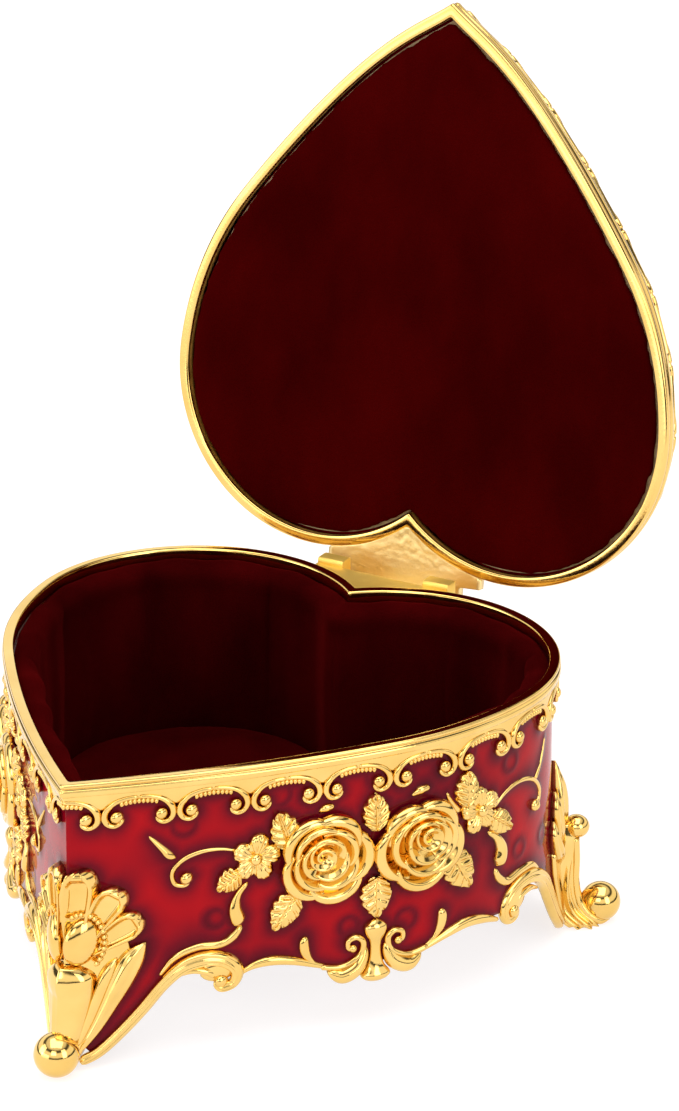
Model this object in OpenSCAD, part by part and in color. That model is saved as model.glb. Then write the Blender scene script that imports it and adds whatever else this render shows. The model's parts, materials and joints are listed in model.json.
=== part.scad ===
// Wind up music box: a heart shaped cast metal casket on three scroll feet, with a hinged
// heart lid, a velvet lined compartment and an 18 note movement under a velvet covered step.
// The box stands on Z = 0 with its tip towards -Y, and is drawn with its lid open.

/* [Heart outline] */
// Half angle at the heart's tip
tip_angle = 49.25; // [47:0.25:51]
// Radius of the long side next to the tip
side_r = 268; // [240:1:320]
// Arc angle of the long side
side_arc = 14.1; // [13:0.1:15]
// Radius of the shoulder between side and lobe
shoulder_r = 65; // [62:1:70]
// Arc angle of the shoulder
shoulder_arc = 31.5; // [30:0.5:33]
// Radius of each lobe at the back
lobe_r = 34.3; // [33.8:0.1:35.5]
// How far in front of the origin the lobes' centres lie, so that the open box is centred
heart_y = 10; // [8:0.5:12]

/* [Casting] */
// Height of the rim's flat top above the table
rim_h = 58.8; // [58:0.2:62]
// Width of the rim's flat top
rim_w = 2.4; // [2.2:0.1:2.8]
// Height of the rim band above the scroll border
rim_band = 5.2; // [4.6:0.2:5.6]
// Setback of the enamelled wall behind the rim's edge
wall_set = 1.6; // [1.4:0.1:1.8]
// Thickness of the cast wall
wall_t = 1.4; // [1.2:0.1:1.5]
// Height of the wall's lower edge
wall_z = 15.5; // [15:0.5:16]
// Distance from one scroll of the border to the next
border_pitch = 14.2; // [13.8:0.1:14.4]
// How far the roses stand out of the wall
relief_t = 4.4; // [3.5:0.1:5]
// Radius of the ball under the tip
ball_r = 4.4; // [4:0.1:4.8]
// Radius of the balls of the two side feet
side_ball_r = 4; // [3.6:0.1:4.2]

/* [Lid] */
// Angle that the lid opens from closed
lid_open = 98.9; // [92:0.1:104]
// Gap left between the lid's frame and the rim when the lid is shut
lid_gap = 0.3; // [0.2:0.1:0.5]
// Thickness of the lid's frame
lid_frame_t = 3; // [2.6:0.1:3.4]
// Height of the lid's crown above its frame
lid_crown = 9; // [7:0.5:10]
// Thickness of the lid's cast shell
lid_shell_t = 1.3; // [1.1:0.1:1.6]
// Distance of the hinge axis behind the lobes' centres
hinge_back = 39.1; // [38.8:0.1:39.6]
// Depth of the hinge axis below the rim's top
hinge_drop = 5.7; // [5.5:0.1:6]
// Length of the hinge pin
hinge_len = 30; // [28:1:32]
// Radius of the hinge pin
hinge_pin_r = 0.9; // [0.8:0.05:1]

/* [Lining] */
// Thickness of the padded wall lining
lining_t = 2.6; // [2:0.1:3]
// Depth of the lining's top below the rim
lining_drop = 3.6; // [3.2:0.1:4.5]
// Thickness of the card under the floor pad
floor_card_t = 1.6; // [1.2:0.1:2]
// Thickness of the padded velvet floor
floor_pad_t = 3; // [2:0.1:3.2]
// Thickness of the bottom plate
plate_t = 1.2; // [1:0.1:1.4]
// Height of the bottom plate above the table
plate_z = 16.2; // [16:0.1:16.6]

/* [Movement] */
// Length of the movement's bedplate along the casket's side
bed_l = 52; // [52:0.5:54]
// Width of the bedplate
bed_w = 42; // [42:0.5:43]
// Thickness of the bedplate
bed_t = 1.6; // [1.4:0.1:1.7]
// Height of the cylinder's axis above the bottom plate
axis_h = 8.4; // [8.4:0.1:8.6]
// Radius of the music cylinder
cylinder_r = 5.2; // [5:0.1:5.3]
// Number of teeth on the comb
notes = 18; // [12:1:18]
// Teeth on the drive gear
drive_teeth = 36; // [36]
// Teeth on the cylinder's pinion
pinion_teeth = 12; // [12]
// Teeth on the cylinder's wheel
wheel_teeth = 30; // [30]
// Teeth on the idler's pinion
idler_teeth = 10; // [10]
// Teeth on the worm wheel
worm_teeth = 18; // [18]
// Width across the winding key's wings
key_w = 24; // [20:0.5:26]

/* [Hidden] */
$fn = 48;
touch = 0.01;

// The heart's outline runs from the tip round the right side to the cleft. It is three
// arcs that all turn left, so every point is an arc's centre minus its radius along the
// left normal of the heading. Insetting the outline only shortens the radii.
function left_of(heading) = [-sin(heading), cos(heading)];
head_tip = 90 - tip_angle;
head_side = head_tip + side_arc;
head_lobe = head_side + shoulder_arc;
from_tip = side_r * left_of(head_tip) - (side_r - shoulder_r) * left_of(head_side)
    - (shoulder_r - lobe_r) * left_of(head_lobe);
lobe_c = [from_tip.x, 0];
tip_y = -from_tip.y;
shoulder_c = lobe_c + (shoulder_r - lobe_r) * left_of(head_lobe);
side_c = shoulder_c + (side_r - shoulder_r) * left_of(head_side);

function tip_heading(inset) = asin(-side_c.x / (side_r - inset));
function cleft_heading(inset) = 180 + asin(lobe_c.x / (lobe_r - inset));
function arc_point(c, r, heading) = c - r * left_of(heading);
function arc_run(c, r, from, to, steps) =
    [for (i = [0:steps - 1]) arc_point(c, r, from + (to - from) * i / steps)];
function half_heart(inset) = concat(
    arc_run(side_c, side_r - inset, tip_heading(inset), head_side, 6),
    arc_run(shoulder_c, shoulder_r - inset, head_side, head_lobe, 7),
    arc_run(lobe_c, lobe_r - inset, head_lobe, cleft_heading(inset), 18)
);
function cleft_point(inset) = arc_point(lobe_c, lobe_r - inset, cleft_heading(inset));
function mirrored(points) =
    [for (i = [len(points) - 1:-1:1]) [-points[i].x, points[i].y]];
function heart_points(inset) =
    concat(half_heart(inset), [cleft_point(inset)], mirrored(half_heart(inset)));

// Arc lengths along the wall's outer face, counted from the tip.
wall_len1 = (side_r - wall_set) * (head_side - tip_heading(wall_set)) * PI / 180;
wall_len2 = (shoulder_r - wall_set) * shoulder_arc * PI / 180;
wall_len3 = (lobe_r - wall_set) * (cleft_heading(wall_set) - head_lobe) * PI / 180;
wall_len = wall_len1 + wall_len2 + wall_len3;
function turn(length, r) = length / r * 180 / PI;
function wall_heading(s) =
    s < wall_len1 ? tip_heading(wall_set) + turn(s, side_r - wall_set) :
    s < wall_len1 + wall_len2 ? head_side + turn(s - wall_len1, shoulder_r - wall_set) :
    head_lobe + turn(s - wall_len1 - wall_len2, lobe_r - wall_set);
function wall_point(s) =
    s < wall_len1 ? arc_point(side_c, side_r - wall_set, wall_heading(s)) :
    s < wall_len1 + wall_len2 ? arc_point(shoulder_c, shoulder_r - wall_set, wall_heading(s)) :
    arc_point(lobe_c, lobe_r - wall_set, wall_heading(s));

// Heights
wall_top = rim_h - 3.2;
border_z = rim_h - rim_band;
lining_top = rim_h - lining_drop;
bed_z = plate_z + plate_t;
floor_z = bed_z + floor_card_t;
lining_in = wall_set + wall_t + lining_t;
lid_z = rim_h + lid_gap;
lid_top = lid_z + lid_frame_t;
hinge_z = rim_h - hinge_drop;

// Roses and the spray around them, as arc length and height on the wall
rose_z = 36.5;
rose_s = [50, 70];
rose_r = 9.5;
leaf_from = rose_r + 0.1;
border_count = 12;

// Hinge: the base has a knuckle at each end of the pin and the lid has one between them.
knuckle_l = 5.8;
leaf_t = 1.6;
lid_knuckle_l = hinge_len - 2 * knuckle_l - 0.4;

// Feet: the angle at which the side feet leave the lobes, and how much of a ball is flat
side_foot_angle = 35;
foot_flat = 0.1;

// Bosses on the wall take the bottom plate's screws, at these arc lengths on both sides.
plate_screw_s = [18, 96, 158];
plate_screw_r = 1.1;
boss_r = 2.2;
boss_h = floor_card_t + 1.2;

// The movement stands beside the right wall, turned to lie along it.
bed_turn = 50;
bed_inset = 31;
bed_at = arc_point(side_c, side_r - bed_inset, bed_turn);
cover_l = bed_l + 3;
cover_w = bed_w + 3.4;
cover_t = 1.2;
cover_h = 17;

// Movement layout, from the bedplate's centre: X runs along the cylinder.
train_y = 2.5;
gear_m = 0.65;
fine_m = 0.4;
worm_m = 0.45;
drive_r = drive_teeth * gear_m / 2;
pinion_r = pinion_teeth * gear_m / 2;
wheel_r = wheel_teeth * fine_m / 2;
idler_r = idler_teeth * fine_m / 2;
worm_wheel_r = worm_teeth * worm_m / 2;
worm_pitch_r = 1;
worm_lead = PI * worm_m;
worm_throw = 0.3;
worm_l = 5.2;
// Heading of the worm's thread halfway up, where a tooth of the wheel lies in it
worm_mesh = -44;
drive_x = -13.4;
pinion_x = drive_x + drive_r;
housing_r = 10.4;
housing_h = 9;
barrel_x = [1.2, 16.9];
wheel_x = 22.9;
idler_y = train_y + wheel_r + idler_r;
worm_wheel_x = 17.5;
governor_y = idler_y + worm_wheel_r + worm_pitch_r;
gear_w = 1;
shaft_r = 0.8;
run = 0.05;
comb_pitch = (barrel_x[1] - barrel_x[0] - 0.4) / notes;
comb_z = axis_h - 0.4;
comb_tip_y = train_y - cylinder_r - 0.75;
comb_root_y = comb_tip_y - 11.5;
comb_back_y = -bed_w / 2 + 0.5;
crown_z = axis_h + pinion_r;
fan_z = 13.5;
bed_holes = [[-23.5, -18.5], [23.5, -12], [-22, 18.5]];
comb_screw_x = [barrel_x[0] + 3.6, barrel_x[1] - 3.6];
bracket_t = 1;
near_x = -0.5;
end_x = 24.3;
frame_x = 13.4;
frame_top = 12.2;
bracket_screw_at = [[near_x + 2.8, train_y + 5.6], [end_x - 1.8, train_y - 5.6], [15.6, governor_y]];
governor_x = worm_wheel_x + gear_w / 2;
governor_r = 0.45;
idler_shaft_r = 0.6;

// Stop lever: it turns on a stud and holds a finger near the governor's brake disc.
stop_at = [23.3, 17.5];
stop_swing = 25;
brake_r = 2.2;
brake_z = frame_top + 0.2;
stop_away = [stop_at.x - governor_x, stop_at.y - governor_y];
stop_reach = norm(stop_away) - brake_r - 0.1;
stop_turn = atan2(-stop_away.y, -stop_away.x) - stop_swing;
tail_l = 4;
tail_turn = 270 - stop_swing / 2;

module place() {
    translate([0, heart_y, 0]) children();
}
module both_sides() {
    children();
    mirror([1, 0, 0]) children();
}
module lid_place() {
    place()
        translate([0, hinge_back, hinge_z])
            rotate([-lid_open, 0, 0])
                translate([0, -hinge_back, -hinge_z])
                    children();
}
module heart(inset) {
    polygon(heart_points(inset));
}
module heart_ring(outer, inner, z, h) {
    translate([0, 0, z]) linear_extrude(h) difference() {
        heart(outer);
        heart(inner);
    }
}
// Puts a shape drawn on a flat sheet onto the right wall: X along it, Y up, Z out of it
module on_wall(s, z, sunk = 0.6) {
    p = wall_point(s);
    translate([p.x, p.y, z])
        rotate([0, 0, wall_heading(s)])
            rotate([90, 0, 0])
                translate([0, 0, -sunk])
                    children();
}
module in_bed() {
    place()
        translate([bed_at.x, bed_at.y, bed_z])
            rotate([0, 0, bed_turn])
                children();
}
// Turns a shape so that its Z axis lies along the cylinder
module along_train(x, y, z) {
    translate([x, y, z]) rotate([0, 90, 0]) children();
}
function polar(r, a) = [r * cos(a), r * sin(a)];
// Spur gear outline; share is the part of each pitch that the tooth fills at the pitch circle
module gear_outline(teeth, m, share = 0.36, add = 0.85, ded = 1.15, phase = 0) {
    step = 360 / teeth;
    r = teeth * m / 2;
    polygon([for (i = [0:teeth - 1]) let (a = phase + i * step) each [
        polar(r - ded * m, a - step * share * 0.72),
        polar(r + add * m, a - step * share * 0.26),
        polar(r + add * m, a + step * share * 0.26),
        polar(r - ded * m, a + step * share * 0.72)
    ]]);
}
module leaf_outline(length, width) {
    r = (length * length + width * width) / (4 * width);
    intersection() {
        translate([length / 2, r - width / 2]) circle(r);
        translate([length / 2, width / 2 - r]) circle(r);
    }
}
module leaf(angle, start, length, width, t) {
    rotate([0, 0, angle]) translate([start, 0, 0]) linear_extrude(t) leaf_outline(length, width);
}
module rose(r, t) {
    rotate_extrude() polygon([
        [0, 0], [r, 0], [r, t * 0.35], [r * 0.82, t * 0.62], [r * 0.72, t * 0.42],
        [r * 0.58, t * 0.86], [r * 0.44, t * 0.66], [r * 0.28, t], [0, t]
    ]);
}
module small_flower(r, t) {
    for (i = [0:4]) rotate([0, 0, 90 + i * 72]) translate([r * 0.66, 0, 0])
        cylinder(r = r * 0.3, h = t);
    cylinder(r = r * 0.34, h = t * 1.3);
}
module screw(head_r, head_t, shank_r, shank_l) {
    difference() {
        cylinder(r = head_r, h = head_t);
        translate([-head_r, -0.25, -touch]) cube([2 * head_r, 0.5, head_t * 0.45]);
    }
    translate([0, 0, head_t - touch]) cylinder(r = shank_r, h = shank_l + touch);
}

// ---- Casting ----
module base_wall() {
    color("firebrick") place() difference() {
        union() {
            heart_ring(wall_set, wall_set + wall_t, wall_z, wall_top - wall_z);
            plate_screw_places() translate([0, 0, bed_z]) cylinder(r = boss_r, h = boss_h);
        }
        plate_screw_places() translate([0, 0, bed_z - 1]) cylinder(r = plate_screw_r, h = boss_h + 2);
    }
}
module base_rim() {
    color("gold") place() {
        heart_ring(0, rim_w, wall_top, rim_h - wall_top);
        heart_ring(0, wall_set, border_z, wall_top - border_z);
    }
}
// The last scroll before the cleft is left off, because the hinge's leaf is there.
module rim_scrollwork() {
    color("gold") place() both_sides() for (i = [0:border_count - 2]) {
        on_wall((i + 0.5) * border_pitch, border_z - 2.2, 0.4) linear_extrude(1.8) {
            translate([-1.7, 0]) circle(1.25);
            translate([1.7, 0]) circle(1.25);
            translate([-1.1, 0.2]) square([2.2, 2]);
        }
    }
}
module apron_trim() {
    color("gold") place() difference() {
        union() {
            heart_ring(wall_set - 1.8, wall_set, 10, wall_z + 2.5 - 10);
            heart_ring(wall_set, wall_set + wall_t, 10, wall_z - 10);
        }
        both_sides() {
            on_wall(22, 6, 8) cylinder(r = 7, h = 16);
            on_wall(44, 4, 8) cylinder(r = 11.5, h = 16);
            on_wall(77, 3, 8) cylinder(r = 10.5, h = 16);
            on_wall(104, 4, 8) cylinder(r = 8.5, h = 16);
            on_wall(150, 4, 8) cylinder(r = 11, h = 16);
        }
    }
}
module palmette() {
    for (a = [30, 60, 90, 120, 150]) leaf(a, 1, a == 90 ? 9 : 7.5, 3, 2.4);
    for (side = [-1, 1]) translate([side * 6.5, -3.5, 0]) cylinder(r = 2, h = 2.4);
    translate([-7, -2, 0]) cube([14, 2.4, 2.4]);
}
module apron_palmettes() {
    color("gold") place() both_sides() for (s = [60, 136]) on_wall(s, 13, 1.2) palmette();
}
// Side view of a scroll foot: X points away from the box, Y is up. It hugs the wall's face
// above the wall's lower edge and tucks in under the wall below it.
module foot_profile(reach, ball, top) {
    polygon([
        [-0.6, wall_z], [-0.6, top], [1.5, top], [3.2, top * 0.62], [3, top * 0.4],
        [reach * 0.55 + 1.5, ball * 2.2], [reach, ball * 1.2], [reach - 1, 0],
        [reach * 0.3, 0], [-3, wall_z * 0.55], [-6, wall_z * 0.9], [-6, wall_z]
    ]);
}
module foot(reach, ball, top, width) {
    rotate([90, 0, 0]) translate([0, 0, -width / 2]) linear_extrude(width)
        foot_profile(reach, ball, top);
    difference() {
        translate([reach, 0, ball - foot_flat]) sphere(ball);
        translate([reach - ball, -ball, -1]) cube([2 * ball, 2 * ball, 1]);
    }
}
module front_foot() {
    color("gold") place() translate([0, tip_y + wall_set, 0]) rotate([0, 0, -90])
        foot(4.2, ball_r, 38, 9);
}
module side_foot() {
    translate([lobe_c.x, 0, 0]) rotate([0, 0, side_foot_angle])
        translate([lobe_r - wall_set, 0, 0]) foot(10.5, side_ball_r, 33, 8);
}
module right_foot() {
    color("gold") place() side_foot();
}
module left_foot() {
    color("gold") place() mirror([1, 0, 0]) side_foot();
}
module rose_spray() {
    for (s = rose_s) on_wall(s, rose_z) rose(rose_r, relief_t + 0.6);
    for (s = rose_s) for (a = [110, 250]) on_wall(s, rose_z) leaf(a, leaf_from, 7.5, 5, 2.4);
    on_wall(rose_s[0], rose_z) leaf(215, leaf_from, 7, 5, 2.4);
    on_wall(rose_s[1], rose_z) leaf(60, leaf_from, 7, 5, 2.4);
    on_wall(35.5, rose_z + 1) small_flower(4.2, 2.2);
    on_wall(35.5, rose_z + 1) leaf(200, 4.5, 6, 4, 2);
    on_wall(85, rose_z + 1.5) small_flower(4.2, 2.2);
    on_wall(85, rose_z + 1.5) leaf(-20, 4.5, 6, 4, 2);
}
module rose_spray_right() {
    color("gold") place() rose_spray();
}
module rose_spray_left() {
    color("gold") place() mirror([1, 0, 0]) rose_spray();
}
module lobe_sprays() {
    color("gold") place() both_sides() {
        on_wall(146, rose_z) rose(rose_r, relief_t + 0.6);
        for (a = [20, 90, 160, 230, 310]) on_wall(146, rose_z) leaf(a, leaf_from, 7, 5, 2.4);
    }
}
module plate_screw_places() {
    both_sides() for (s = plate_screw_s) {
        p = wall_point(s) + (wall_t + boss_r - 0.6) * left_of(wall_heading(s));
        translate([p.x, p.y, 0]) children();
    }
}
module bottom_plate() {
    color("silver") difference() {
        place() difference() {
            translate([0, 0, plate_z]) linear_extrude(plate_t) heart(wall_set + wall_t + 0.1);
            plate_screw_places() translate([0, 0, plate_z - 1])
                cylinder(r = plate_screw_r, h = plate_t + 2);
        }
        in_bed() {
            translate([drive_x, train_y, -plate_t - 1]) cylinder(r = 3.2, h = plate_t + 2);
            for (p = bed_holes) translate([p.x, p.y, -plate_t - 1]) cylinder(r = 1.1, h = plate_t + 2);
            translate([0, 0, -plate_t - 1]) linear_extrude(plate_t + 2) stop_slot();
        }
    }
}
module plate_screws() {
    color("silver") place() plate_screw_places() translate([0, 0, plate_z - 1])
        screw(1.5, 1, plate_screw_r, plate_t + boss_h - 0.4);
}
module knuckle(from, length, bore_r) {
    translate([from, hinge_back, hinge_z]) rotate([0, 90, 0]) difference() {
        cylinder(r = 1.7, h = length);
        translate([0, 0, -1]) cylinder(r = bore_r, h = length + 2);
    }
}
module base_hinge_leaf() {
    color("gold") place() difference() {
        union() {
            translate([0, 0, hinge_z - leaf_t]) linear_extrude(leaf_t) difference() {
                translate([-hinge_len / 2, 24]) square([hinge_len, hinge_back - 2.1 - 24]);
                heart(wall_set);
            }
            both_sides() translate([hinge_len / 2 - knuckle_l, hinge_back - 2.5, hinge_z - leaf_t])
                cube([knuckle_l, 2.5, leaf_t]);
            both_sides() knuckle(hinge_len / 2 - knuckle_l, knuckle_l, hinge_pin_r);
        }
        translate([-hinge_len, hinge_back, hinge_z]) rotate([0, 90, 0])
            cylinder(r = hinge_pin_r, h = 2 * hinge_len);
    }
}
module hinge_pin() {
    color("goldenrod") place() translate([-hinge_len / 2 - 0.3, hinge_back, hinge_z])
        rotate([0, 90, 0]) cylinder(r = hinge_pin_r, h = hinge_len + 0.6);
}

// ---- Lining ----
module cover_outline(extra) {
    translate([-cover_l / 2 - extra, -cover_w / 2 - extra])
        square([cover_l + 2 * extra, cover_w + 2 * extra]);
}
module boss_room() {
    plate_screw_places() translate([0, 0, bed_z - 1]) cylinder(r = boss_r + 0.1, h = boss_h + 1.1);
}
module wall_lining() {
    color("maroon") place() difference() {
        heart_ring(wall_set + wall_t, lining_in, bed_z, lining_top - bed_z);
        boss_room();
    }
}
module floor_layer(z, t) {
    difference() {
        place() difference() {
            translate([0, 0, z]) linear_extrude(t) heart(lining_in);
            boss_room();
        }
        in_bed() translate([0, 0, -1]) linear_extrude(8) cover_outline(0);
    }
}
module floor_card() {
    color("tan") floor_layer(bed_z, floor_card_t);
}
module floor_pad() {
    color("maroon") floor_layer(floor_z, floor_pad_t);
}
module movement_cover() {
    color("maroon") in_bed() difference() {
        linear_extrude(cover_h) cover_outline(0);
        translate([0, 0, -1]) linear_extrude(cover_h - cover_t + 1) cover_outline(-cover_t);
    }
}

// ---- Movement, fixed pieces ----
module stop_slot() {
    translate([stop_at.x - 2, stop_at.y - tail_l - 0.9]) square([4, 2]);
}
module bedplate() {
    color("silver") in_bed() difference() {
        union() {
            translate([-bed_l / 2, -bed_w / 2, 0]) cube([bed_l, bed_w, bed_t]);
            translate([barrel_x[0], comb_back_y, bed_t - touch])
                cube([barrel_x[1] - barrel_x[0], 5.6, comb_z - bed_t - 0.6 + touch]);
        }
        translate([drive_x, train_y, -1]) cylinder(r = 2 + run, h = bed_t + 2);
        for (p = bed_holes) translate([p.x, p.y, -1]) cylinder(r = 1, h = bed_t + 2);
        for (x = comb_screw_x) translate([x, comb_back_y + 2.8, comb_z - 4]) cylinder(r = 0.8, h = 6);
        for (p = bracket_screw_at) translate([p.x, p.y, -1]) cylinder(r = 0.7, h = bed_t + 2);
        translate([0, 0, -1]) linear_extrude(bed_t + 2) stop_slot();
    }
}
module movement_screws() {
    color("silver") in_bed() for (p = bed_holes) translate([p.x, p.y, -plate_t - 1])
        screw(1.9, 1, 1, plate_t + bed_t);
}
module spring_housing() {
    color("silver") in_bed() translate([drive_x, train_y, bed_t]) difference() {
        cylinder(r = housing_r, h = housing_h);
        translate([0, 0, 1]) cylinder(r = housing_r - 1, h = housing_h - 2);
        translate([0, 0, -1]) cylinder(r = 2 + run, h = housing_h + 2);
    }
}
spring_turns = 6;
spring_steps = 16;
function spiral(grow, i) =
    polar(3.2 + grow + (housing_r - 5) * i / (spring_turns * spring_steps), i * 360 / spring_steps);
module mainspring() {
    color("slategray") in_bed() translate([drive_x, train_y, bed_t + 1.4])
        linear_extrude(housing_h - 2.8) polygon(concat(
            [for (i = [0:spring_turns * spring_steps]) spiral(0, i)],
            [for (i = [spring_turns * spring_steps:-1:0]) spiral(0.3, i)]
        ));
}
module comb() {
    color("lightgray") in_bed() translate([0, 0, comb_z - 0.6]) difference() {
        union() {
            translate([barrel_x[0], comb_back_y, 0])
                cube([barrel_x[1] - barrel_x[0], comb_root_y - comb_back_y, 1.4]);
            for (i = [0:notes - 1])
                translate([barrel_x[0] + 0.2 + i * comb_pitch + 0.2, comb_root_y - 0.5, 0.2])
                    cube([comb_pitch - 0.4, comb_tip_y - comb_root_y + 0.5, 0.8]);
        }
        for (x = comb_screw_x) translate([x, comb_back_y + 2.8, -1]) cylinder(r = 0.8, h = 4);
    }
}
module comb_screws() {
    color("silver") in_bed() for (x = comb_screw_x)
        translate([x, comb_back_y + 2.8, comb_z + 1.8]) mirror([0, 0, 1]) screw(1.5, 1, 0.8, 4);
}
// An upright plate across the train, with a foot beside it that a screw holds down
module upright(x, from_y, to_y) {
    translate([x, from_y, bed_t]) cube([bracket_t, to_y - from_y, axis_h + 2.4 - bed_t]);
}
module screw_holes() {
    for (p = bracket_screw_at) translate([p.x, p.y, 0]) cylinder(r = 0.7, h = 5);
}
module cylinder_bracket() {
    color("silver") in_bed() difference() {
        union() {
            upright(near_x, train_y - 3, train_y + 8);
            translate([near_x, train_y + 3.2, bed_t]) cube([4.6, 4.8, 1]);
        }
        along_train(near_x - 1, train_y, axis_h) cylinder(r = shaft_r + run, h = 3);
        screw_holes();
    }
}
module end_bracket() {
    color("silver") in_bed() difference() {
        union() {
            upright(end_x, train_y - 8, idler_y + 2.2);
            translate([end_x - 3.6, train_y - 8, bed_t]) cube([4.6, 4.8, 1]);
        }
        along_train(end_x - 1, train_y, axis_h) cylinder(r = shaft_r + run, h = 3);
        along_train(end_x - 1, idler_y, axis_h) cylinder(r = idler_shaft_r + run, h = 3);
        screw_holes();
    }
}
module governor_frame() {
    reach = worm_wheel_x - frame_x + 1.4;
    color("silver") in_bed() difference() {
        union() {
            translate([frame_x, idler_y - 2, bed_t])
                cube([bracket_t, governor_y - idler_y + 4, frame_top - bed_t]);
            for (z = [bed_t, frame_top - 1])
                translate([frame_x, governor_y - 1.4, z]) cube([reach, 3.4, 1]);
        }
        along_train(frame_x - 1, idler_y, axis_h) cylinder(r = idler_shaft_r + run, h = 3);
        translate([governor_x, governor_y, 0]) cylinder(r = governor_r + run, h = 20);
        screw_holes();
    }
}
module bracket_screws() {
    color("silver") in_bed() for (p = bracket_screw_at) translate([p.x, p.y, bed_t + 1.8])
        mirror([0, 0, 1]) screw(1.2, 0.8, 0.7, 2.2);
}
module stop_pivot() {
    color("silver") in_bed() translate([stop_at.x, stop_at.y, bed_t])
        cylinder(r = 0.7, h = frame_top - bed_t);
}

// ---- Lid, drawn closed and turned open about the hinge ----
dome_centre = [0, -22];
dome_steps = [1, 0.97, 0.9, 0.78, 0.6, 0.38, 0.18];
function dome_ring(points, f, z) =
    [for (p = points) let (q = dome_centre + f * (p - dome_centre)) [q.x, q.y, z]];
function dome_height(f) = lid_crown * sqrt(1 - pow(f, 3));
module dome_solid(inset, base_z, drop) {
    outline = heart_points(inset);
    n = len(outline);
    squash = 1 - drop / lid_crown;
    rings = [for (f = dome_steps) dome_ring(outline, f, base_z + dome_height(f) * squash)];
    apex = [dome_centre.x, dome_centre.y, base_z + lid_crown - drop];
    layers = len(dome_steps);
    bottom = dome_ring(outline, 1, base_z - 1);
    polyhedron(
        points = concat(bottom, [for (ring = rings) each ring], [apex]),
        faces = concat(
            [[for (i = [0:n - 1]) i]],
            [for (k = [0:layers - 1]) for (i = [0:n - 1]) each [
                [k * n + i, (k + 1) * n + i, k * n + (i + 1) % n],
                [k * n + (i + 1) % n, (k + 1) * n + i, (k + 1) * n + (i + 1) % n]
            ]],
            [for (i = [0:n - 1]) [layers * n + i, (layers + 1) * n, layers * n + (i + 1) % n]]
        )
    );
}
module lid_shell() {
    color("firebrick") lid_place() difference() {
        dome_solid(1.2, lid_top + 1, 0);
        dome_solid(1.2 + lid_shell_t, lid_top + 1 - touch, lid_shell_t);
    }
}
module lid_frame() {
    color("gold") lid_place() {
        heart_ring(0, 2.4, lid_z, lid_frame_t);
        heart_ring(0, 1.2, lid_top - touch, 1.2);
    }
}
module lid_border() {
    color("gold") lid_place() both_sides() for (i = [0:border_count - 1]) {
        s = (i + 0.5) * border_pitch;
        p = wall_point(s) + 3 * left_of(wall_heading(s));
        translate([p.x, p.y, lid_top]) rotate([0, 0, wall_heading(s)]) {
            for (x = [-1.7, 1.7]) translate([x, 0, 0.6]) cylinder(r = 1.2, h = 4);
        }
    }
}
module lid_rose_spray() {
    color("gold") lid_place() translate([0, -24, lid_top + 1 + lid_crown - 2.2]) {
        for (x = [-10, 10]) translate([x, 0, 0]) rose(rose_r, relief_t);
        for (side = [0, 1]) mirror([side, 0, 0]) translate([10, 0, 0])
            for (a = [-60, 0, 60]) leaf(a, leaf_from, 8, 5, 2.8);
    }
}
module lid_hinge_leaf() {
    color("gold") lid_place() {
        translate([0, 0, lid_z]) linear_extrude(1.8) difference() {
            translate([-13, 24]) square([26, hinge_back + 1.1 - 24]);
            heart(0);
        }
        difference() {
            union() {
                translate([-lid_knuckle_l / 2, hinge_back - 1.1, hinge_z])
                    cube([lid_knuckle_l, 2.2, lid_z - hinge_z + 0.5]);
                knuckle(-lid_knuckle_l / 2, lid_knuckle_l, hinge_pin_r + 0.06);
            }
            translate([-hinge_len, hinge_back, hinge_z]) rotate([0, 90, 0])
                cylinder(r = hinge_pin_r + 0.06, h = 2 * hinge_len);
        }
    }
}
module lid_pad_board() {
    color("tan") lid_place() translate([0, 0, lid_z + 2]) linear_extrude(1.4) heart(2.5);
}
module lid_pad() {
    color("maroon") lid_place() translate([0, 0, lid_z]) linear_extrude(2) heart(2.5);
}

// ---- Movement, moving pieces ----
module winding_arbor() {
    color("silver") in_bed() translate([drive_x, train_y, 0]) {
        translate([0, 0, -9.4]) cylinder(r = 1.5, h = 9.5);
        cylinder(r = 2, h = crown_z + 2.2);
    }
}
module drive_gear() {
    color("gold") in_bed() translate([drive_x, train_y, 0]) {
        step = 360 / drive_teeth;
        translate([0, 0, crown_z + 0.6]) difference() {
            cylinder(r = drive_r + 1, h = 1.2);
            translate([0, 0, -1]) cylinder(r = 2, h = 4);
        }
        translate([0, 0, crown_z - 0.55]) linear_extrude(1.25) for (i = [0:drive_teeth - 1])
            let (a = (i + 0.5) * step) polygon([
                polar(drive_r - 0.8, a - step * 0.16), polar(drive_r + 0.8, a - step * 0.16),
                polar(drive_r + 0.8, a + step * 0.16), polar(drive_r - 0.8, a + step * 0.16)
            ]);
    }
}
module winding_key() {
    color("silver") in_bed() translate([drive_x, train_y, -13.4]) {
        difference() {
            translate([0, 0, 1]) cylinder(r = 2.6, h = 10);
            translate([0, 0, 4]) cylinder(r = 1.5, h = 8);
        }
        rotate([90, 0, 0]) translate([0, 0, -0.6]) linear_extrude(1.2) difference() {
            union() for (side = [-1, 1]) {
                translate([side * (key_w / 2 - 4.6), 4.6]) circle(4.6);
                translate([side < 0 ? -key_w / 4 : 0, 2.4]) square([key_w / 4, 4.4]);
            }
            translate([-1.5, 4]) square([3, 8]);
        }
    }
}
module cylinder_barrel() {
    color("gold") in_bed() along_train(barrel_x[0], train_y, axis_h) difference() {
        cylinder(r = cylinder_r, h = barrel_x[1] - barrel_x[0]);
        translate([0, 0, 1]) cylinder(r = cylinder_r - 0.5, h = barrel_x[1] - barrel_x[0] - 2);
        translate([0, 0, -1]) cylinder(r = shaft_r, h = 40);
    }
}
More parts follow.
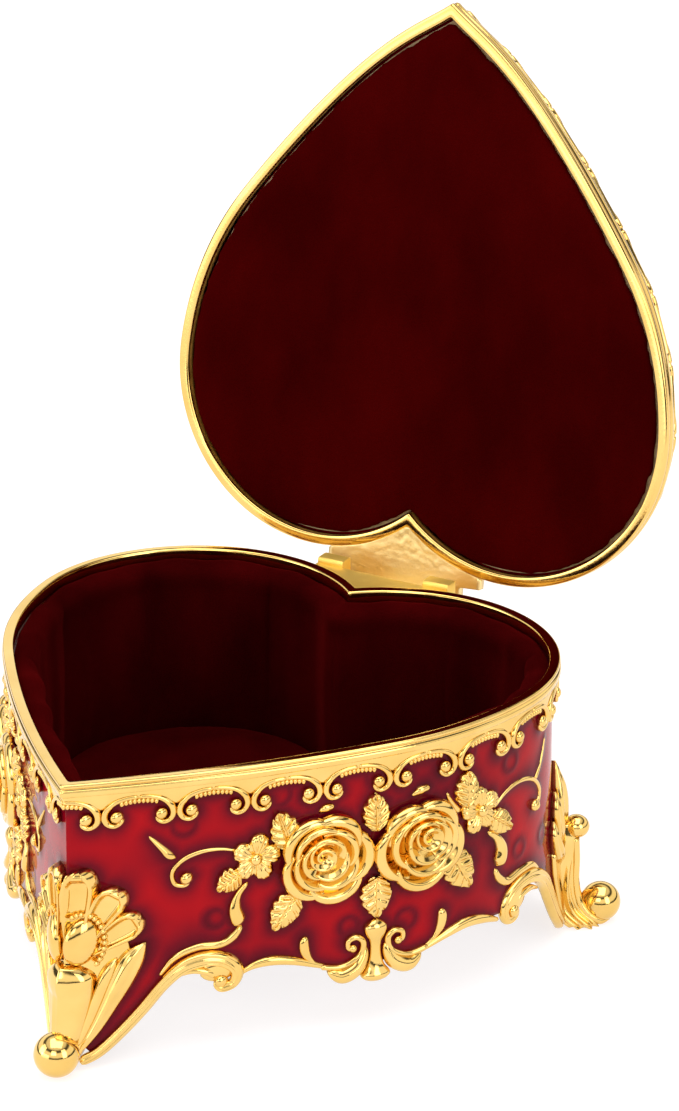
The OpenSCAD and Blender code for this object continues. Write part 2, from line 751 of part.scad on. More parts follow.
// The tune is a run of pins: each note has a few, spread round the cylinder by a rule.
pins_per_note = 3;
module cylinder_pins() {
    color("gold") in_bed() for (i = [0:notes - 1]) for (k = [0:pins_per_note - 1])
        along_train(barrel_x[0] + 0.2 + (i + 0.5) * comb_pitch, train_y, axis_h)
            rotate([0, 0, 37 * i + 113 * k + 11 * i * k])
                translate([cylinder_r, 0, 0]) rotate([0, 90, 0]) cylinder(r = 0.18, h = 0.42);
}
module cylinder_shaft() {
    color("silver") in_bed() along_train(pinion_x - 0.8, train_y, axis_h)
        cylinder(r = shaft_r, h = end_x + 1.2 - pinion_x + 0.8);
}
module cylinder_pinion() {
    color("gold") in_bed() along_train(pinion_x - 0.8, train_y, axis_h) linear_extrude(1.6) difference() {
        gear_outline(pinion_teeth, gear_m, 0.34, 0.8, 1.2, 180);
        circle(shaft_r);
    }
}
module cylinder_wheel() {
    color("gold") in_bed() along_train(wheel_x, train_y, axis_h) linear_extrude(gear_w) difference() {
        gear_outline(wheel_teeth, fine_m, phase = 90);
        circle(shaft_r);
    }
}
module idler_shaft() {
    color("silver") in_bed() along_train(frame_x - 0.2, idler_y, axis_h)
        cylinder(r = idler_shaft_r, h = end_x + bracket_t + 0.4 - frame_x);
}
module idler_pinion() {
    color("gold") in_bed() along_train(wheel_x - 0.1, idler_y, axis_h) linear_extrude(gear_w + 0.2)
        difference() {
            gear_outline(idler_teeth, fine_m, phase = 270 + 180 / idler_teeth);
            circle(idler_shaft_r);
        }
}
module worm_wheel() {
    color("gold") in_bed() along_train(worm_wheel_x, idler_y, axis_h) linear_extrude(gear_w)
        difference() {
            gear_outline(worm_teeth, worm_m, 0.3, 0.7, 1.2, phase = 90);
            circle(idler_shaft_r);
        }
}
// The worm is one thread: an off-centre round that turns once for each lead as it rises.
module governor_worm() {
    low = axis_h - worm_l / 2;
    color("silver") in_bed() translate([governor_x, governor_y, 0]) {
        translate([0, 0, bed_t + 0.1]) cylinder(r = governor_r, h = low - bed_t - 0.1);
        translate([0, 0, low])
            rotate([0, 0, 180 * worm_l / worm_lead + worm_mesh])
                linear_extrude(worm_l, twist = -360 * worm_l / worm_lead, slices = 40, $fn = 12)
                    translate([worm_throw, 0]) circle(worm_pitch_r - 0.36);
        translate([0, 0, low + worm_l]) cylinder(r = governor_r, h = fan_z + 1.2 - low - worm_l);
    }
}
module governor_fan() {
    color("gold") in_bed() translate([governor_x, governor_y, 0]) difference() {
        union() {
            translate([0, 0, brake_z]) cylinder(r = brake_r, h = fan_z - brake_z);
            translate([-4.4, -0.3, fan_z]) cube([8.8, 0.6, 1.2]);
        }
        cylinder(r = governor_r, h = 40);
    }
}
module stop_lever() {
    sleeve_z = bed_t + 0.2;
    color("silver") in_bed() translate([stop_at.x, stop_at.y, 0]) {
        difference() {
            union() {
                translate([0, 0, sleeve_z]) cylinder(r = 1.4, h = fan_z - 0.2 - sleeve_z);
                translate([0, 0, brake_z]) linear_extrude(fan_z - 0.2 - brake_z) rotate(stop_turn) {
                    translate([0, -0.5]) square([stop_reach - 0.5, 1]);
                    translate([stop_reach - 0.5, 0]) circle(0.5);
                }
                translate([0, 0, sleeve_z]) linear_extrude(1) rotate(tail_turn)
                    translate([0, -0.7]) square([tail_l, 1.4]);
            }
            cylinder(r = 0.7 + run, h = frame_top + 0.1);
        }
        rotate([0, 0, tail_turn]) translate([tail_l, 0, -plate_t - 4.5]) {
            cylinder(r = 0.7, h = sleeve_z + 1 + plate_t + 4.5);
            sphere(1.1);
        }
    }
}

base_wall();
base_rim();
rim_scrollwork();
apron_trim();
apron_palmettes();
front_foot();
left_foot();
right_foot();
rose_spray_right();
rose_spray_left();
lobe_sprays();
bottom_plate();
plate_screws();
base_hinge_leaf();
hinge_pin();
wall_lining();
floor_card();
floor_pad();
movement_cover();
bedplate();
movement_screws();
spring_housing();
mainspring();
comb();
comb_screws();
cylinder_bracket();
end_bracket();
governor_frame();
bracket_screws();
stop_pivot();
lid_shell();
lid_frame();
lid_border();
lid_rose_spray();
lid_hinge_leaf();
lid_pad_board();
lid_pad();
winding_arbor();
drive_gear();
winding_key();
cylinder_barrel();
cylinder_pins();
cylinder_shaft();
cylinder_pinion();
cylinder_wheel();
idler_shaft();
idler_pinion();
worm_wheel();
governor_worm();
governor_fan();
stop_lever();
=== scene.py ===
import json
import math

import bmesh
import bpy
import numpy as np
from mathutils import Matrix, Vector, kdtree, noise


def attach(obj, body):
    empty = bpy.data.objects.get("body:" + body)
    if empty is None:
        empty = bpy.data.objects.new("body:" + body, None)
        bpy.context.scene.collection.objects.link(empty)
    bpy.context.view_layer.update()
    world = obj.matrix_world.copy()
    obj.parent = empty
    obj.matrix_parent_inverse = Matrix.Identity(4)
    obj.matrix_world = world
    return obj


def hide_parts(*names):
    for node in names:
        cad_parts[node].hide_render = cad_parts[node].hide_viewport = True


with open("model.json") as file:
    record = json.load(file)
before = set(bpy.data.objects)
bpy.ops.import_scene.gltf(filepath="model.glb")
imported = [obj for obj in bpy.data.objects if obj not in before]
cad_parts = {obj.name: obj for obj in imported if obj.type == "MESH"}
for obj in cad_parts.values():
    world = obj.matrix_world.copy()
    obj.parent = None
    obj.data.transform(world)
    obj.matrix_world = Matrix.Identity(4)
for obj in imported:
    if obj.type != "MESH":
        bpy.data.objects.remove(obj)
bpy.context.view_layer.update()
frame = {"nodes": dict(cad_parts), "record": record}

# Everything is drawn in millimetres with the heart's lobes centred on y = 0, and moved
# HEART_Y forward and turned into metres when it becomes a mesh.
MM = 0.001
HEART_Y = 10.0

# The casket's driving sizes, as in the CAD model
TIP_ANGLE = 49.25
SIDE_R, SIDE_ARC = 268.0, 14.1
SHOULDER_R, SHOULDER_ARC = 65.0, 31.5
LOBE_R = 34.3
RIM_H = 58.8
RIM_W = 2.4
WALL_SET, WALL_T = 1.6, 1.4
PITCH = 14.2
LID_Z = 59.1
LID_TOP = LID_Z + 3.0
LID_CROWN = 9.0
LID_OPEN = 98.9
HINGE_Y, HINGE_Z = 39.1, 53.1
PIN_HALF = 15.0
KNUCKLE_L = 5.8
FRONT_BALL_R, SIDE_BALL_R = 4.4, 4.0
SIDE_FOOT_ANGLE = 35.0
DOME_CENTRE = np.array([0.0, -22.0])


# ---- The heart's outline ----
def left_of(degrees):
    h = math.radians(degrees)
    return np.array([-math.sin(h), math.cos(h)])


HEAD_TIP = 90 - TIP_ANGLE
HEAD_SIDE = HEAD_TIP + SIDE_ARC
HEAD_LOBE = HEAD_SIDE + SHOULDER_ARC
FROM_TIP = (
    SIDE_R * left_of(HEAD_TIP)
    - (SIDE_R - SHOULDER_R) * left_of(HEAD_SIDE)
    - (SHOULDER_R - LOBE_R) * left_of(HEAD_LOBE)
)
LOBE_C = np.array([FROM_TIP[0], 0.0])
TIP_Y = -FROM_TIP[1]
SHOULDER_C = LOBE_C + (SHOULDER_R - LOBE_R) * left_of(HEAD_LOBE)
SIDE_C = SHOULDER_C + (SIDE_R - SHOULDER_R) * left_of(HEAD_SIDE)


def tip_heading(inset):
    return np.degrees(np.arcsin(-SIDE_C[0] / (SIDE_R - inset)))


def cleft_heading(inset):
    return 180 + np.degrees(np.arcsin(LOBE_C[0] / (LOBE_R - inset)))


LEN1 = (SIDE_R - WALL_SET) * math.radians(HEAD_SIDE - tip_heading(WALL_SET))
LEN2 = (SHOULDER_R - WALL_SET) * math.radians(SHOULDER_ARC)
LEN3 = (LOBE_R - WALL_SET) * math.radians(cleft_heading(WALL_SET) - HEAD_LOBE)
HALF = LEN1 + LEN2 + LEN3
SIDE_FOOT_S = LEN1 + LEN2 + (LOBE_R - WALL_SET) * math.radians(90 + SIDE_FOOT_ANGLE - HEAD_LOBE)


def round_path(count):
    """Evenly spaced arc lengths round the whole closed outline."""
    return np.linspace(-HALF, HALF, count, endpoint=False) + HALF / count


def level(x, y, z):
    """A ring of points at one height, or at a height for each point."""
    return np.stack([x, y, z + 0 * x], -1)


def ripple(x, y, z):
    """Smooth noise from about -1 to 1, the same on every run."""
    return noise.noise(Vector((x, y, z)))


def outline(s, inset):
    """Points at arc length s from the tip (left side negative) on the outline set in by inset."""
    s, inset = np.broadcast_arrays(np.asarray(s, float), np.asarray(inset, float))
    a = np.abs(s)
    first, third = a < LEN1, a >= LEN1 + LEN2
    h0, h3 = tip_heading(inset), cleft_heading(inset)
    along_shoulder = HEAD_SIDE + SHOULDER_ARC * (a - LEN1) / LEN2
    h = np.where(first, h0 + (HEAD_SIDE - h0) * a / LEN1, along_shoulder)
    h = np.where(third, HEAD_LOBE + (h3 - HEAD_LOBE) * (a - LEN1 - LEN2) / LEN3, h)
    r = np.where(first, SIDE_R, np.where(third, LOBE_R, SHOULDER_R)) - inset
    cx = np.where(first, SIDE_C[0], np.where(third, LOBE_C[0], SHOULDER_C[0]))
    cy = np.where(first, SIDE_C[1], np.where(third, LOBE_C[1], SHOULDER_C[1]))
    h = np.radians(h)
    x = np.where(s < 0, -1.0, 1.0) * (cx + r * np.sin(h))
    return x, cy - r * np.cos(h)


def flare(s, z):
    """How far the casting swells out of the plain wall: low down, next to each foot."""
    a = np.abs(s)
    low = np.clip((26 - z) / 22, 0, 1) ** 1.3
    tip = 2.0 * np.exp(-((a / 13) ** 2))
    side = 2.2 * np.exp(-(((a - SIDE_FOOT_S) / 11) ** 2))
    return low * (tip + side)


def wall(s, z, d):
    """A point of the outer wall: s along it, z above the table, d out of the enamel."""
    s, z, d = np.broadcast_arrays(s, z, d)
    x, y = outline(s, WALL_SET - d - flare(s, z))
    return np.stack([x, y, z], -1)


# ---- The lid, drawn closed and turned open about the hinge ----
LID_BLUNT, BLUNT_REACH = 3.8, 15.0
SHELL_INSET = 1.2


def lid_outline(s, inset):
    """The lid's own outline: the heart's, with its tip blunted."""
    x, y = outline(s, inset)
    return x, y + LID_BLUNT * np.exp(-((np.abs(s) / BLUNT_REACH) ** 1.5))


def lid_open(points):
    """Turns closed lid points about the hinge to where the lid stands open."""
    a = math.radians(-LID_OPEN)
    y, z = points[..., 1] - HINGE_Y, points[..., 2] - HINGE_Z
    return np.stack([
        points[..., 0],
        HINGE_Y + y * math.cos(a) - z * math.sin(a),
        HINGE_Z + y * math.sin(a) + z * math.cos(a),
    ], -1)


def dome_share(x, y):
    """0 at the lid's highest point and 1 at its edge, whatever the direction."""
    dx, dy = x - DOME_CENTRE[0], y - DOME_CENTRE[1]
    angle = np.arctan2(dy, np.abs(dx))
    edge = np.interp(angle, DOME_ANGLE, DOME_REACH)
    return np.hypot(dx, dy) / edge


def dome_height(x, y):
    share = np.clip(dome_share(x, y), 0, 1)
    return LID_TOP + 1 + LID_CROWN * np.sqrt(np.maximum(1 - share ** 3, 0.0))


def dome(x, y, d):
    """A point d out of the lid's enamel over the plan position x, y, in the open lid."""
    step = 0.4
    gx = (dome_height(x + step, y) - dome_height(x - step, y)) / (2 * step)
    gy = (dome_height(x, y + step) - dome_height(x, y - step)) / (2 * step)
    size = np.sqrt(1 + np.minimum(gx * gx + gy * gy, 6))
    p = np.stack([x - gx / size * d, y - gy / size * d, dome_height(x, y) + d / size], -1)
    return lid_open(p)


edge_x, edge_y = lid_outline(np.linspace(0, HALF, 400), SHELL_INSET)
edge_angle = np.arctan2(edge_y - DOME_CENTRE[1], edge_x - DOME_CENTRE[0])
by_angle = np.argsort(edge_angle)
DOME_ANGLE = edge_angle[by_angle]
DOME_REACH = np.hypot(edge_x - DOME_CENTRE[0], edge_y - DOME_CENTRE[1])[by_angle]
LID_EDGE_Z = 55.4


def toward_crown(x, y, share):
    """The plan positions x, y drawn in to a share of their distance from the dome's centre."""
    return (DOME_CENTRE[0] + share * (x - DOME_CENTRE[0]),
            DOME_CENTRE[1] + share * (y - DOME_CENTRE[1]))


def lid_edge(s, z, d):
    """The border's surface on the lid: the lower z lies, the further in from the edge."""
    x, y = lid_outline(s, 1.9 + (LID_EDGE_Z - z) * 1.05)
    return dome(x, y, d)


def lid_top(s, z, d):
    """The lid's middle: s and z are distances across and along the lid from its spray."""
    return dome(s, z - 24.0, 0.8 * d)


# ---- Mesh building ----
class Shape:
    """Collects closed parts, each a run of rings in millimetres, into one mesh."""

    def __init__(self):
        self.points, self.faces, self.count = [], [], 0

    def loft(self, rings, wrap=False):
        """Skins a run of closed rings. Ends are capped, or joined to each other by wrap."""
        m, n = rings.shape[:2]
        base = self.count
        self.points.append(rings.reshape(-1, 3))
        self.count += m * n
        for i in range(m if wrap else m - 1):
            a, b = base + i * n, base + (i + 1) % m * n
            for j in range(n):
                k = (j + 1) % n
                self.faces.append((a + j, a + k, b + k, b + j))
        if not wrap:
            for i in (0, m - 1):
                start = base + i * n
                self.points.append(rings[i].mean(0)[None])
                for j in range(n):
                    self.faces.append((start + j, start + (j + 1) % n, self.count))
                self.count += 1

    def piece(self, name, material, body, nodes=()):
        points = np.concatenate(self.points)
        return mesh_piece(name, points, self.faces, material, body, nodes)


def mesh_data(name, points, faces):
    """A mesh in the frame's metres from points in the heart's millimetres."""
    data = bpy.data.meshes.new(name)
    data.from_pydata(((points + np.array([0, HEART_Y, 0])) * MM).tolist(), [], faces)
    return data


def add_object(name, data):
    obj = bpy.data.objects.new(name, data)
    bpy.context.collection.objects.link(obj)
    return obj


def mesh_piece(name, points, faces, material, body, nodes=()):
    """Makes a finished piece: its mesh, its material, and its place in the frame."""
    data = mesh_data(name, points, faces)
    bm = bmesh.new()
    bm.from_mesh(data)
    bmesh.ops.recalc_face_normals(bm, faces=bm.faces)
    bm.to_mesh(data)
    bm.free()
    data.shade_smooth()
    obj = add_object(name, data)
    data.materials.append(material)
    if nodes:
        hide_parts(*nodes)
    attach(obj, body)
    return obj


def smooth(path, steps=7):
    """A Catmull-Rom curve through the rows of path."""
    p = np.asarray(path, float)
    p = np.concatenate([2 * p[:1] - p[1:2], p, 2 * p[-1:] - p[-2:-1]])
    t = np.arange(steps)[:, None] / steps
    out = []
    for a, b, c, d in zip(p, p[1:], p[2:], p[3:]):
        out.append(0.5 * (2 * b + (c - a) * t + (2 * a - 5 * b + 4 * c - d) * t ** 2
                          + (3 * b - a - 3 * c + d) * t ** 3))
    return np.concatenate(out + [p[-2:-1]])


SUNK = 0.4
MARKS = []


def stroke(path, rise=0.5, ridges=0, lift=0.0, steps=7, round_ends=True):
    """Rings of a raised bead along (s, z, width) points. ridges cuts it into that many flutes."""
    p = smooth(path, steps)
    run = np.concatenate([[0], np.cumsum(np.hypot(*np.diff(p[:, :2], axis=0).T))])
    width = np.maximum(p[:, 2], 0.08)
    if round_ends:
        near = np.minimum(run, run[-1] - run) / (width.mean() * 0.5)
        near = np.clip(near, 0.02, 1)
        width = width * np.sqrt(1 - (1 - near) ** 2)
    along = np.gradient(p[:, :2], axis=0)
    along /= np.hypot(along[:, :1], along[:, 1:]) + 1e-9
    side = np.stack([-along[:, 1], along[:, 0]], -1)
    turn = np.linspace(0, np.pi, 9 + 4 * ridges)
    across = np.concatenate([np.cos(turn), [-0.96, 0.96]])
    up = np.concatenate([np.sin(turn) ** 0.85, [0, 0]])
    if ridges:
        up = up * (0.72 + 0.28 * np.abs(np.cos(np.pi * ridges * across / 2)))
    offset = across[None] * width[:, None] / 2
    flat = p[:, None, :2] + side[:, None] * offset[..., None]
    d = lift + up[None] * width[:, None] * rise
    d[:, -2:] = -SUNK
    return np.concatenate([flat, d[..., None]], -1)


def blob(s, z, a, b, c, d=0.0, turn=0.0, rings=10, sides=18):
    """Rings of a ball or ellipsoid with half sizes a and b along the wall and c out of it."""
    lat = np.linspace(-np.pi / 2 + 0.06, np.pi / 2 - 0.06, rings)[:, None]
    lon = np.linspace(0, 2 * np.pi, sides, endpoint=False)[None]
    x, y = a * np.cos(lat) * np.cos(lon), b * np.cos(lat) * np.sin(lon)
    t = math.radians(turn)
    up = d + c * np.sin(lat) + 0 * lon
    across = s + x * math.cos(t) - y * math.sin(t)
    return np.stack([across, z + x * math.sin(t) + y * math.cos(t), up], -1)


def blade(base, tip, width, outline_of, section_of, bend=0.0, steps=30, across=17):
    """Rings across a leaf from base to tip. outline_of(u) is its half width as a share, and
    section_of(u, v) its height in millimetres, with v from -1 to 1 across it."""
    base, tip = np.array(base, float), np.array(tip, float)
    u = np.linspace(0.01, 0.99, steps)[:, None]
    v = np.linspace(-1, 1, across)[None]
    axis = tip - base
    side = np.array([-axis[1], axis[0]]) / np.hypot(*axis)
    half = width / 2 * outline_of(u)
    middle = base + u[..., None] * axis + side * (bend * np.sin(np.pi * u))[..., None]
    flat = middle + side * (half * v)[..., None]
    top = np.concatenate([flat, section_of(u, v)[..., None] + 0 * flat[..., :1]], -1)
    under = top[:, [-1, 0]].copy()
    under[..., 2] = -SUNK
    return np.concatenate([top, under], 1)


def rose_leaf(base, tip, width=5.6, height=1.7, lobes=5, bend=0.0):
    """A rose leaf: scalloped edge, raised blade, sunk midrib and side veins."""
    def edge(u):
        scallop = 0.8 + 0.2 * np.abs(np.sin(np.pi * lobes * u ** 0.9))
        return np.sin(np.pi * np.clip(u, 0, 1) ** 0.82) ** 0.62 * scallop

    def section(u, v):
        blade_h = height * (0.5 + 0.5 * np.cos(v * 1.25)) * (0.75 + 0.25 * np.sin(np.pi * u))
        midrib = 0.55 * np.exp(-(v / 0.09) ** 2)
        veins = 0.34 * np.cos(2 * np.pi * (lobes * u ** 0.9 - 1.1 * np.abs(v))) * np.abs(v) ** 0.5
        return np.where(np.abs(v) > 0.99, 0.25, blade_h - midrib + veins)
    return blade(base, tip, width, edge, section, bend, 44, 25)


def spoon(base, tip, width, height, lift=0.0, bend=0.0):
    """A shell petal: narrow at its base, round at its tip, hollow between two raised edges."""
    def edge(u):
        return np.clip(0.34 + 0.9 * u, 0, 1) ** 0.8 * np.clip((1 - u ** 7), 0.0, 1) ** 0.5

    def section(u, v):
        lip = np.exp(-((np.abs(v) - 0.8) / 0.2) ** 2) + 0.9 * np.exp(-((u - 0.93) / 0.06) ** 2)
        shape = height * (0.42 + 0.6 * np.minimum(lip, 1)) * (0.65 + 0.35 * u)
        return lift * (1 - 0.5 * u) + np.where(np.abs(v) > 0.99, 0.1, shape)
    return blade(base, tip, width, edge, section, bend, 34, 25)


def petal(centre, radius, start, sweep, lip, depth, fold, steps=26, swell_end=0.8):
    """Rings of one cupped rose petal round centre: a thin rolled lip over a hollow.
    radius and lip are pairs, from the petal's start to its end."""
    t = np.linspace(0, 1, steps)
    angle = np.radians(start + sweep * t)
    swell = np.sin(np.pi * np.clip(t, 0.03, 0.97)) ** 0.55
    r = (radius[0] + (radius[1] - radius[0]) * t) * (swell_end + (1 - swell_end) * swell)
    top = (lip[0] + (lip[1] - lip[0]) * t) * (0.78 + 0.22 * swell)
    fold_t = fold * (0.35 + 0.65 * swell)
    zero = 0 * t
    rows = [
        (zero - 1.35 * depth, top - depth), (zero - 0.9 * depth, top - 0.88 * depth),
        (zero - 0.5 * depth, top - 0.52 * depth), (zero - 0.24, top - 0.2), (zero, top),
        (fold_t * 0.4, top + 0.03), (fold_t * 0.75, top - 0.2 * fold_t),
        (fold_t, top - 0.6 * fold_t - 0.1), (fold_t * 0.96, top - fold_t * 0.85 - 0.35),
        (fold_t * 0.7, top - fold_t - 0.75), (zero + 0.25, top * 0.25), (zero, zero - SUNK),
        (zero - 1.35 * depth, zero - SUNK),
    ]
    dr = np.stack([row[0] for row in rows], 1)
    dz = np.stack([row[1] for row in rows], 1)
    reach = np.maximum(r[:, None] + dr, 0.12)
    return np.stack([
        centre[0] + reach * np.cos(angle)[:, None],
        centre[1] + reach * np.sin(angle)[:, None],
        np.maximum(dz, -SUNK),
    ], -1)


def rose(centre, bud, turn=0.0, size=1.0):
    """All the rings of a cabbage rose whose bud stands off its centre, as if it faced up."""
    centre, bud = np.array(centre, float), np.array(bud, float)
    layers = [
        (7.1, 5, 96, 2.9, 2.1, 1.8), (5.3, 4, 122, 4.0, 2.0, 0.95), (3.7, 3, 155, 4.9, 1.8, 0.6),
    ]
    parts = []
    for k, (r, count, sweep, lip, depth, fold) in enumerate(layers):
        shift = bud + (centre - bud) * ((r - 1.5) / 6.0)
        for i in range(count):
            start = turn + 47 * k + i * 360 / count
            taper = 1 + 0.075 * ((i * 7 + k * 3) % 4 - 1.5)
            parts.append(petal(shift, (r * size * taper, r * size), start, sweep,
                               (lip, lip * 0.9), depth * size, fold * size))
    parts.append(petal(bud, (2.6 * size, 0.9 * size), turn + 30, 560, (5.0, 5.3), 1.0 * size,
                       0.42 * size, 60, 0.97))
    return parts


def flower(s, z, r, turn=90.0):
    """Rings of a flat five petalled flower with fine radial lines and a bead in the middle."""
    lon = np.linspace(0, 2 * np.pi, 120, endpoint=False)
    five = np.abs(np.cos(2.5 * (lon - math.radians(turn))))
    edge = r * (0.6 + 0.4 * five ** 0.55)
    rho = np.array([0.05, 0.2, 0.34, 0.5, 0.65, 0.8, 0.92, 1.0, 1.0])
    bulge = np.array([1.0, 0.85, 0.75, 0.95, 1.0, 0.95, 0.75, 0.35, -SUNK])
    lines = 0.12 * np.cos(25 * lon)
    rings = []
    for q, h in zip(rho, bulge):
        d = h if h < 0 else h * (0.75 + 0.7 * five ** 0.5) + lines * (0.3 < q < 0.95)
        rings.append(level(s + q * edge * np.cos(lon), z + q * edge * np.sin(lon), d))
    return [np.array(rings), blob(s, z, r * 0.25, r * 0.25, r * 0.25, 0.95)]


def put(shape, surface, parts, sides=(1,), mark=False):
    """Adds parts to a shape on a surface, on the right side and, for -1, mirrored left."""
    for rings in parts:
        for side in sides:
            shape.loft(surface(side * rings[..., 0], rings[..., 1], rings[..., 2]))
        if mark:
            MARKS.append(rings.reshape(-1, 3)[::3, :2])


BOTH = (1, -1)


# ---- Materials ----
def new_material(name, **sockets):
    """A Principled material. Underscores in a socket's keyword stand for spaces."""
    mat = bpy.data.materials.new(name)
    mat.use_nodes = True
    shader = mat.node_tree.nodes["Principled BSDF"]
    for key, value in sockets.items():
        shader.inputs[key.replace("_", " ")].default_value = value
    return mat, mat.node_tree.nodes, mat.node_tree.links, shader


def noise_node(nodes, links, scale, detail=3.0, stretch=(1, 1, 1)):
    """Noise over the object's own coordinates, with scale in cycles per metre."""
    place = nodes.new("ShaderNodeTexCoord")
    mapping = nodes.new("ShaderNodeMapping")
    mapping.inputs["Scale"].default_value = stretch
    texture = nodes.new("ShaderNodeTexNoise")
    texture.inputs["Scale"].default_value = scale
    texture.inputs["Detail"].default_value = detail
    links.new(place.outputs["Object"], mapping.inputs["Vector"])
    links.new(mapping.outputs["Vector"], texture.inputs["Vector"])
    return texture.outputs["Fac"]


def ramp(nodes, links, source, stops):
    """A colour ramp over source with (place, colour) stops."""
    node = nodes.new("ShaderNodeValToRGB")
    while len(node.color_ramp.elements) < len(stops):
        node.color_ramp.elements.new(0.5)
    for element, (place, colour) in zip(node.color_ramp.elements, stops):
        element.position = place
        element.color = (*colour, 1) if len(colour) == 3 else colour
    links.new(source, node.inputs["Fac"])
    return node.outputs["Color"]


def bump(nodes, links, shader, height, strength, distance):
    node = nodes.new("ShaderNodeBump")
    node.inputs["Strength"].default_value = strength
    node.inputs["Distance"].default_value = distance
    links.new(height, node.inputs["Height"])
    links.new(node.outputs["Normal"], shader.inputs["Normal"])


def roughen(nodes, links, shader, source, low, high):
    node = nodes.new("ShaderNodeMapRange")
    node.inputs["To Min"].default_value = low
    node.inputs["To Max"].default_value = high
    links.new(source, node.inputs["Value"])
    links.new(node.outputs["Result"], shader.inputs["Roughness"])


def metal(name, dark, light, low, high, grain=0.15):
    """Plated or plain metal: slight colour drift, smudged gloss, and a cast or brushed skin."""
    mat, nodes, links, shader = new_material(name, Metallic=1.0)
    drift = noise_node(nodes, links, 90, 3)
    links.new(ramp(nodes, links, drift, [(0.3, dark), (0.7, light)]), shader.inputs["Base Color"])
    roughen(nodes, links, shader, noise_node(nodes, links, 420, 4), low, high)
    bump(nodes, links, shader, noise_node(nodes, links, 1500, 4), grain, 0.00006)
    return mat


def enamel_material(name):
    """Translucent red enamel: bright where it is thin, dark where it pools near the relief, where
    the dark also stands in as painted shade and painted reflection.
    """
    mat, nodes, links, shader = new_material(
        name, Roughness=0.3, Coat_Weight=1.0, Coat_Roughness=0.03, Coat_IOR=1.19,
        Specular_IOR_Level=0.0)
    # The attribute's ramp darkens the enamel where it pools against the relief, and also paints
    # shade and dark reflections there.
    pool_and_shade = nodes.new("ShaderNodeAttribute")
    pool_and_shade.attribute_name = "pool_and_shade"
    colour = ramp(nodes, links, pool_and_shade.outputs["Fac"], [
        (0.0, (0.41, 0.002, 0.005)), (0.3, (0.27, 0.001, 0.006)),
        (0.6, (0.135, 0.001, 0.008)), (1.0, (0.06, 0.001, 0.006))])
    links.new(colour, shader.inputs["Base Color"])
    bump(nodes, links, shader, noise_node(nodes, links, 260, 2), 0.12, 0.0004)
    return mat


def velvet_material(name, dark, light, sheen):
    """Short pile velvet: deep red, darker where the pile lies away, pale only at grazing angles."""
    mat, nodes, links, shader = new_material(
        name, Roughness=0.95, Sheen_Weight=sheen, Sheen_Roughness=0.32,
        Sheen_Tint=(0.8, 0.03, 0.03, 1), Specular_IOR_Level=0.0)
    nap = noise_node(nodes, links, 55, 4, (1, 1, 0.55))
    links.new(ramp(nodes, links, nap, [(0.34, dark), (0.68, light)]), shader.inputs["Base Color"])
    bump(nodes, links, shader, noise_node(nodes, links, 5200, 2), 0.5, 0.00025)
    return mat


def card_material(name):
    mat, nodes, links, shader = new_material(name, Roughness=0.9)
    fibre = noise_node(nodes, links, 900, 6, (1, 3, 1))
    tone = ramp(nodes, links, fibre, [(0.3, (0.30, 0.21, 0.12)), (0.7, (0.46, 0.35, 0.22))])
    links.new(tone, shader.inputs["Base Color"])
    bump(nodes, links, shader, fibre, 0.3, 0.0001)
    return mat


GOLD = metal("gold", (0.76, 0.50, 0.14), (0.88, 0.60, 0.20), 0.06, 0.14)
GOLD_HAMMERED = metal("gold_hammered", (0.84, 0.63, 0.27), (0.92, 0.72, 0.36), 0.34, 0.46, 0.8)
GOLD_LEAF = metal("gold_leaf", (0.90, 0.62, 0.14), (0.98, 0.72, 0.20), 0.5, 0.62, 0.3)
ENAMEL = enamel_material("enamel")
VELVET = velvet_material("velvet", (0.020, 0.0004, 0.0006), (0.042, 0.0008, 0.0011), 0.10)
VELVET_LID = velvet_material("velvet_lid", (0.026, 0.0003, 0.0004), (0.044, 0.0006, 0.0006), 0.07)
CARD = card_material("card")
ZINC = metal("zinc", (0.50, 0.50, 0.50), (0.64, 0.64, 0.63), 0.32, 0.48, 0.6)
STEEL = metal("steel", (0.55, 0.55, 0.56), (0.68, 0.68, 0.68), 0.14, 0.28)
BRASS = metal("brass", (0.62, 0.42, 0.16), (0.78, 0.57, 0.26), 0.18, 0.32)
BY_SLOT = {"gold": GOLD, "enamel": ENAMEL, "velvet": VELVET, "card": CARD, "zinc": ZINC,
           "steel": STEEL, "brass": BRASS}


# ---- Border under the rim, also used round the lid ----
ARCHES = range(-11, 12)
BAND_TOP = 57.4


def arch_parts(middle, sides=BOTH):
    """One arch of the scroll border: a bead that curls into a volute at each end, with a
    row of beads under it."""
    parts = []
    for side in sides:
        path = [(0, 55.05, 1.0), (2.4, 54.85, 1.05), (4.6, 54.1, 1.15), (6.05, 52.75, 1.3),
                (6.5, 51.2, 1.3), (5.95, 49.9, 1.15), (4.7, 49.35, 1.0), (3.6, 49.85, 0.9),
                (3.25, 50.8, 0.8)]
        parts.append(stroke([(middle + side * x, z, w) for x, z, w in path], 0.62, lift=0.5))
        parts.append(blob(middle + side * 4.25, 51.15, 1.2, 1.2, 1.0, 0.6))
    for i in range(-4, 5):
        x = i * 0.82
        parts.append(blob(middle + x, 54.15 - 0.035 * x * x, 0.5, 0.72, 0.62, 0.45,
                          rings=6, sides=10))
    return parts


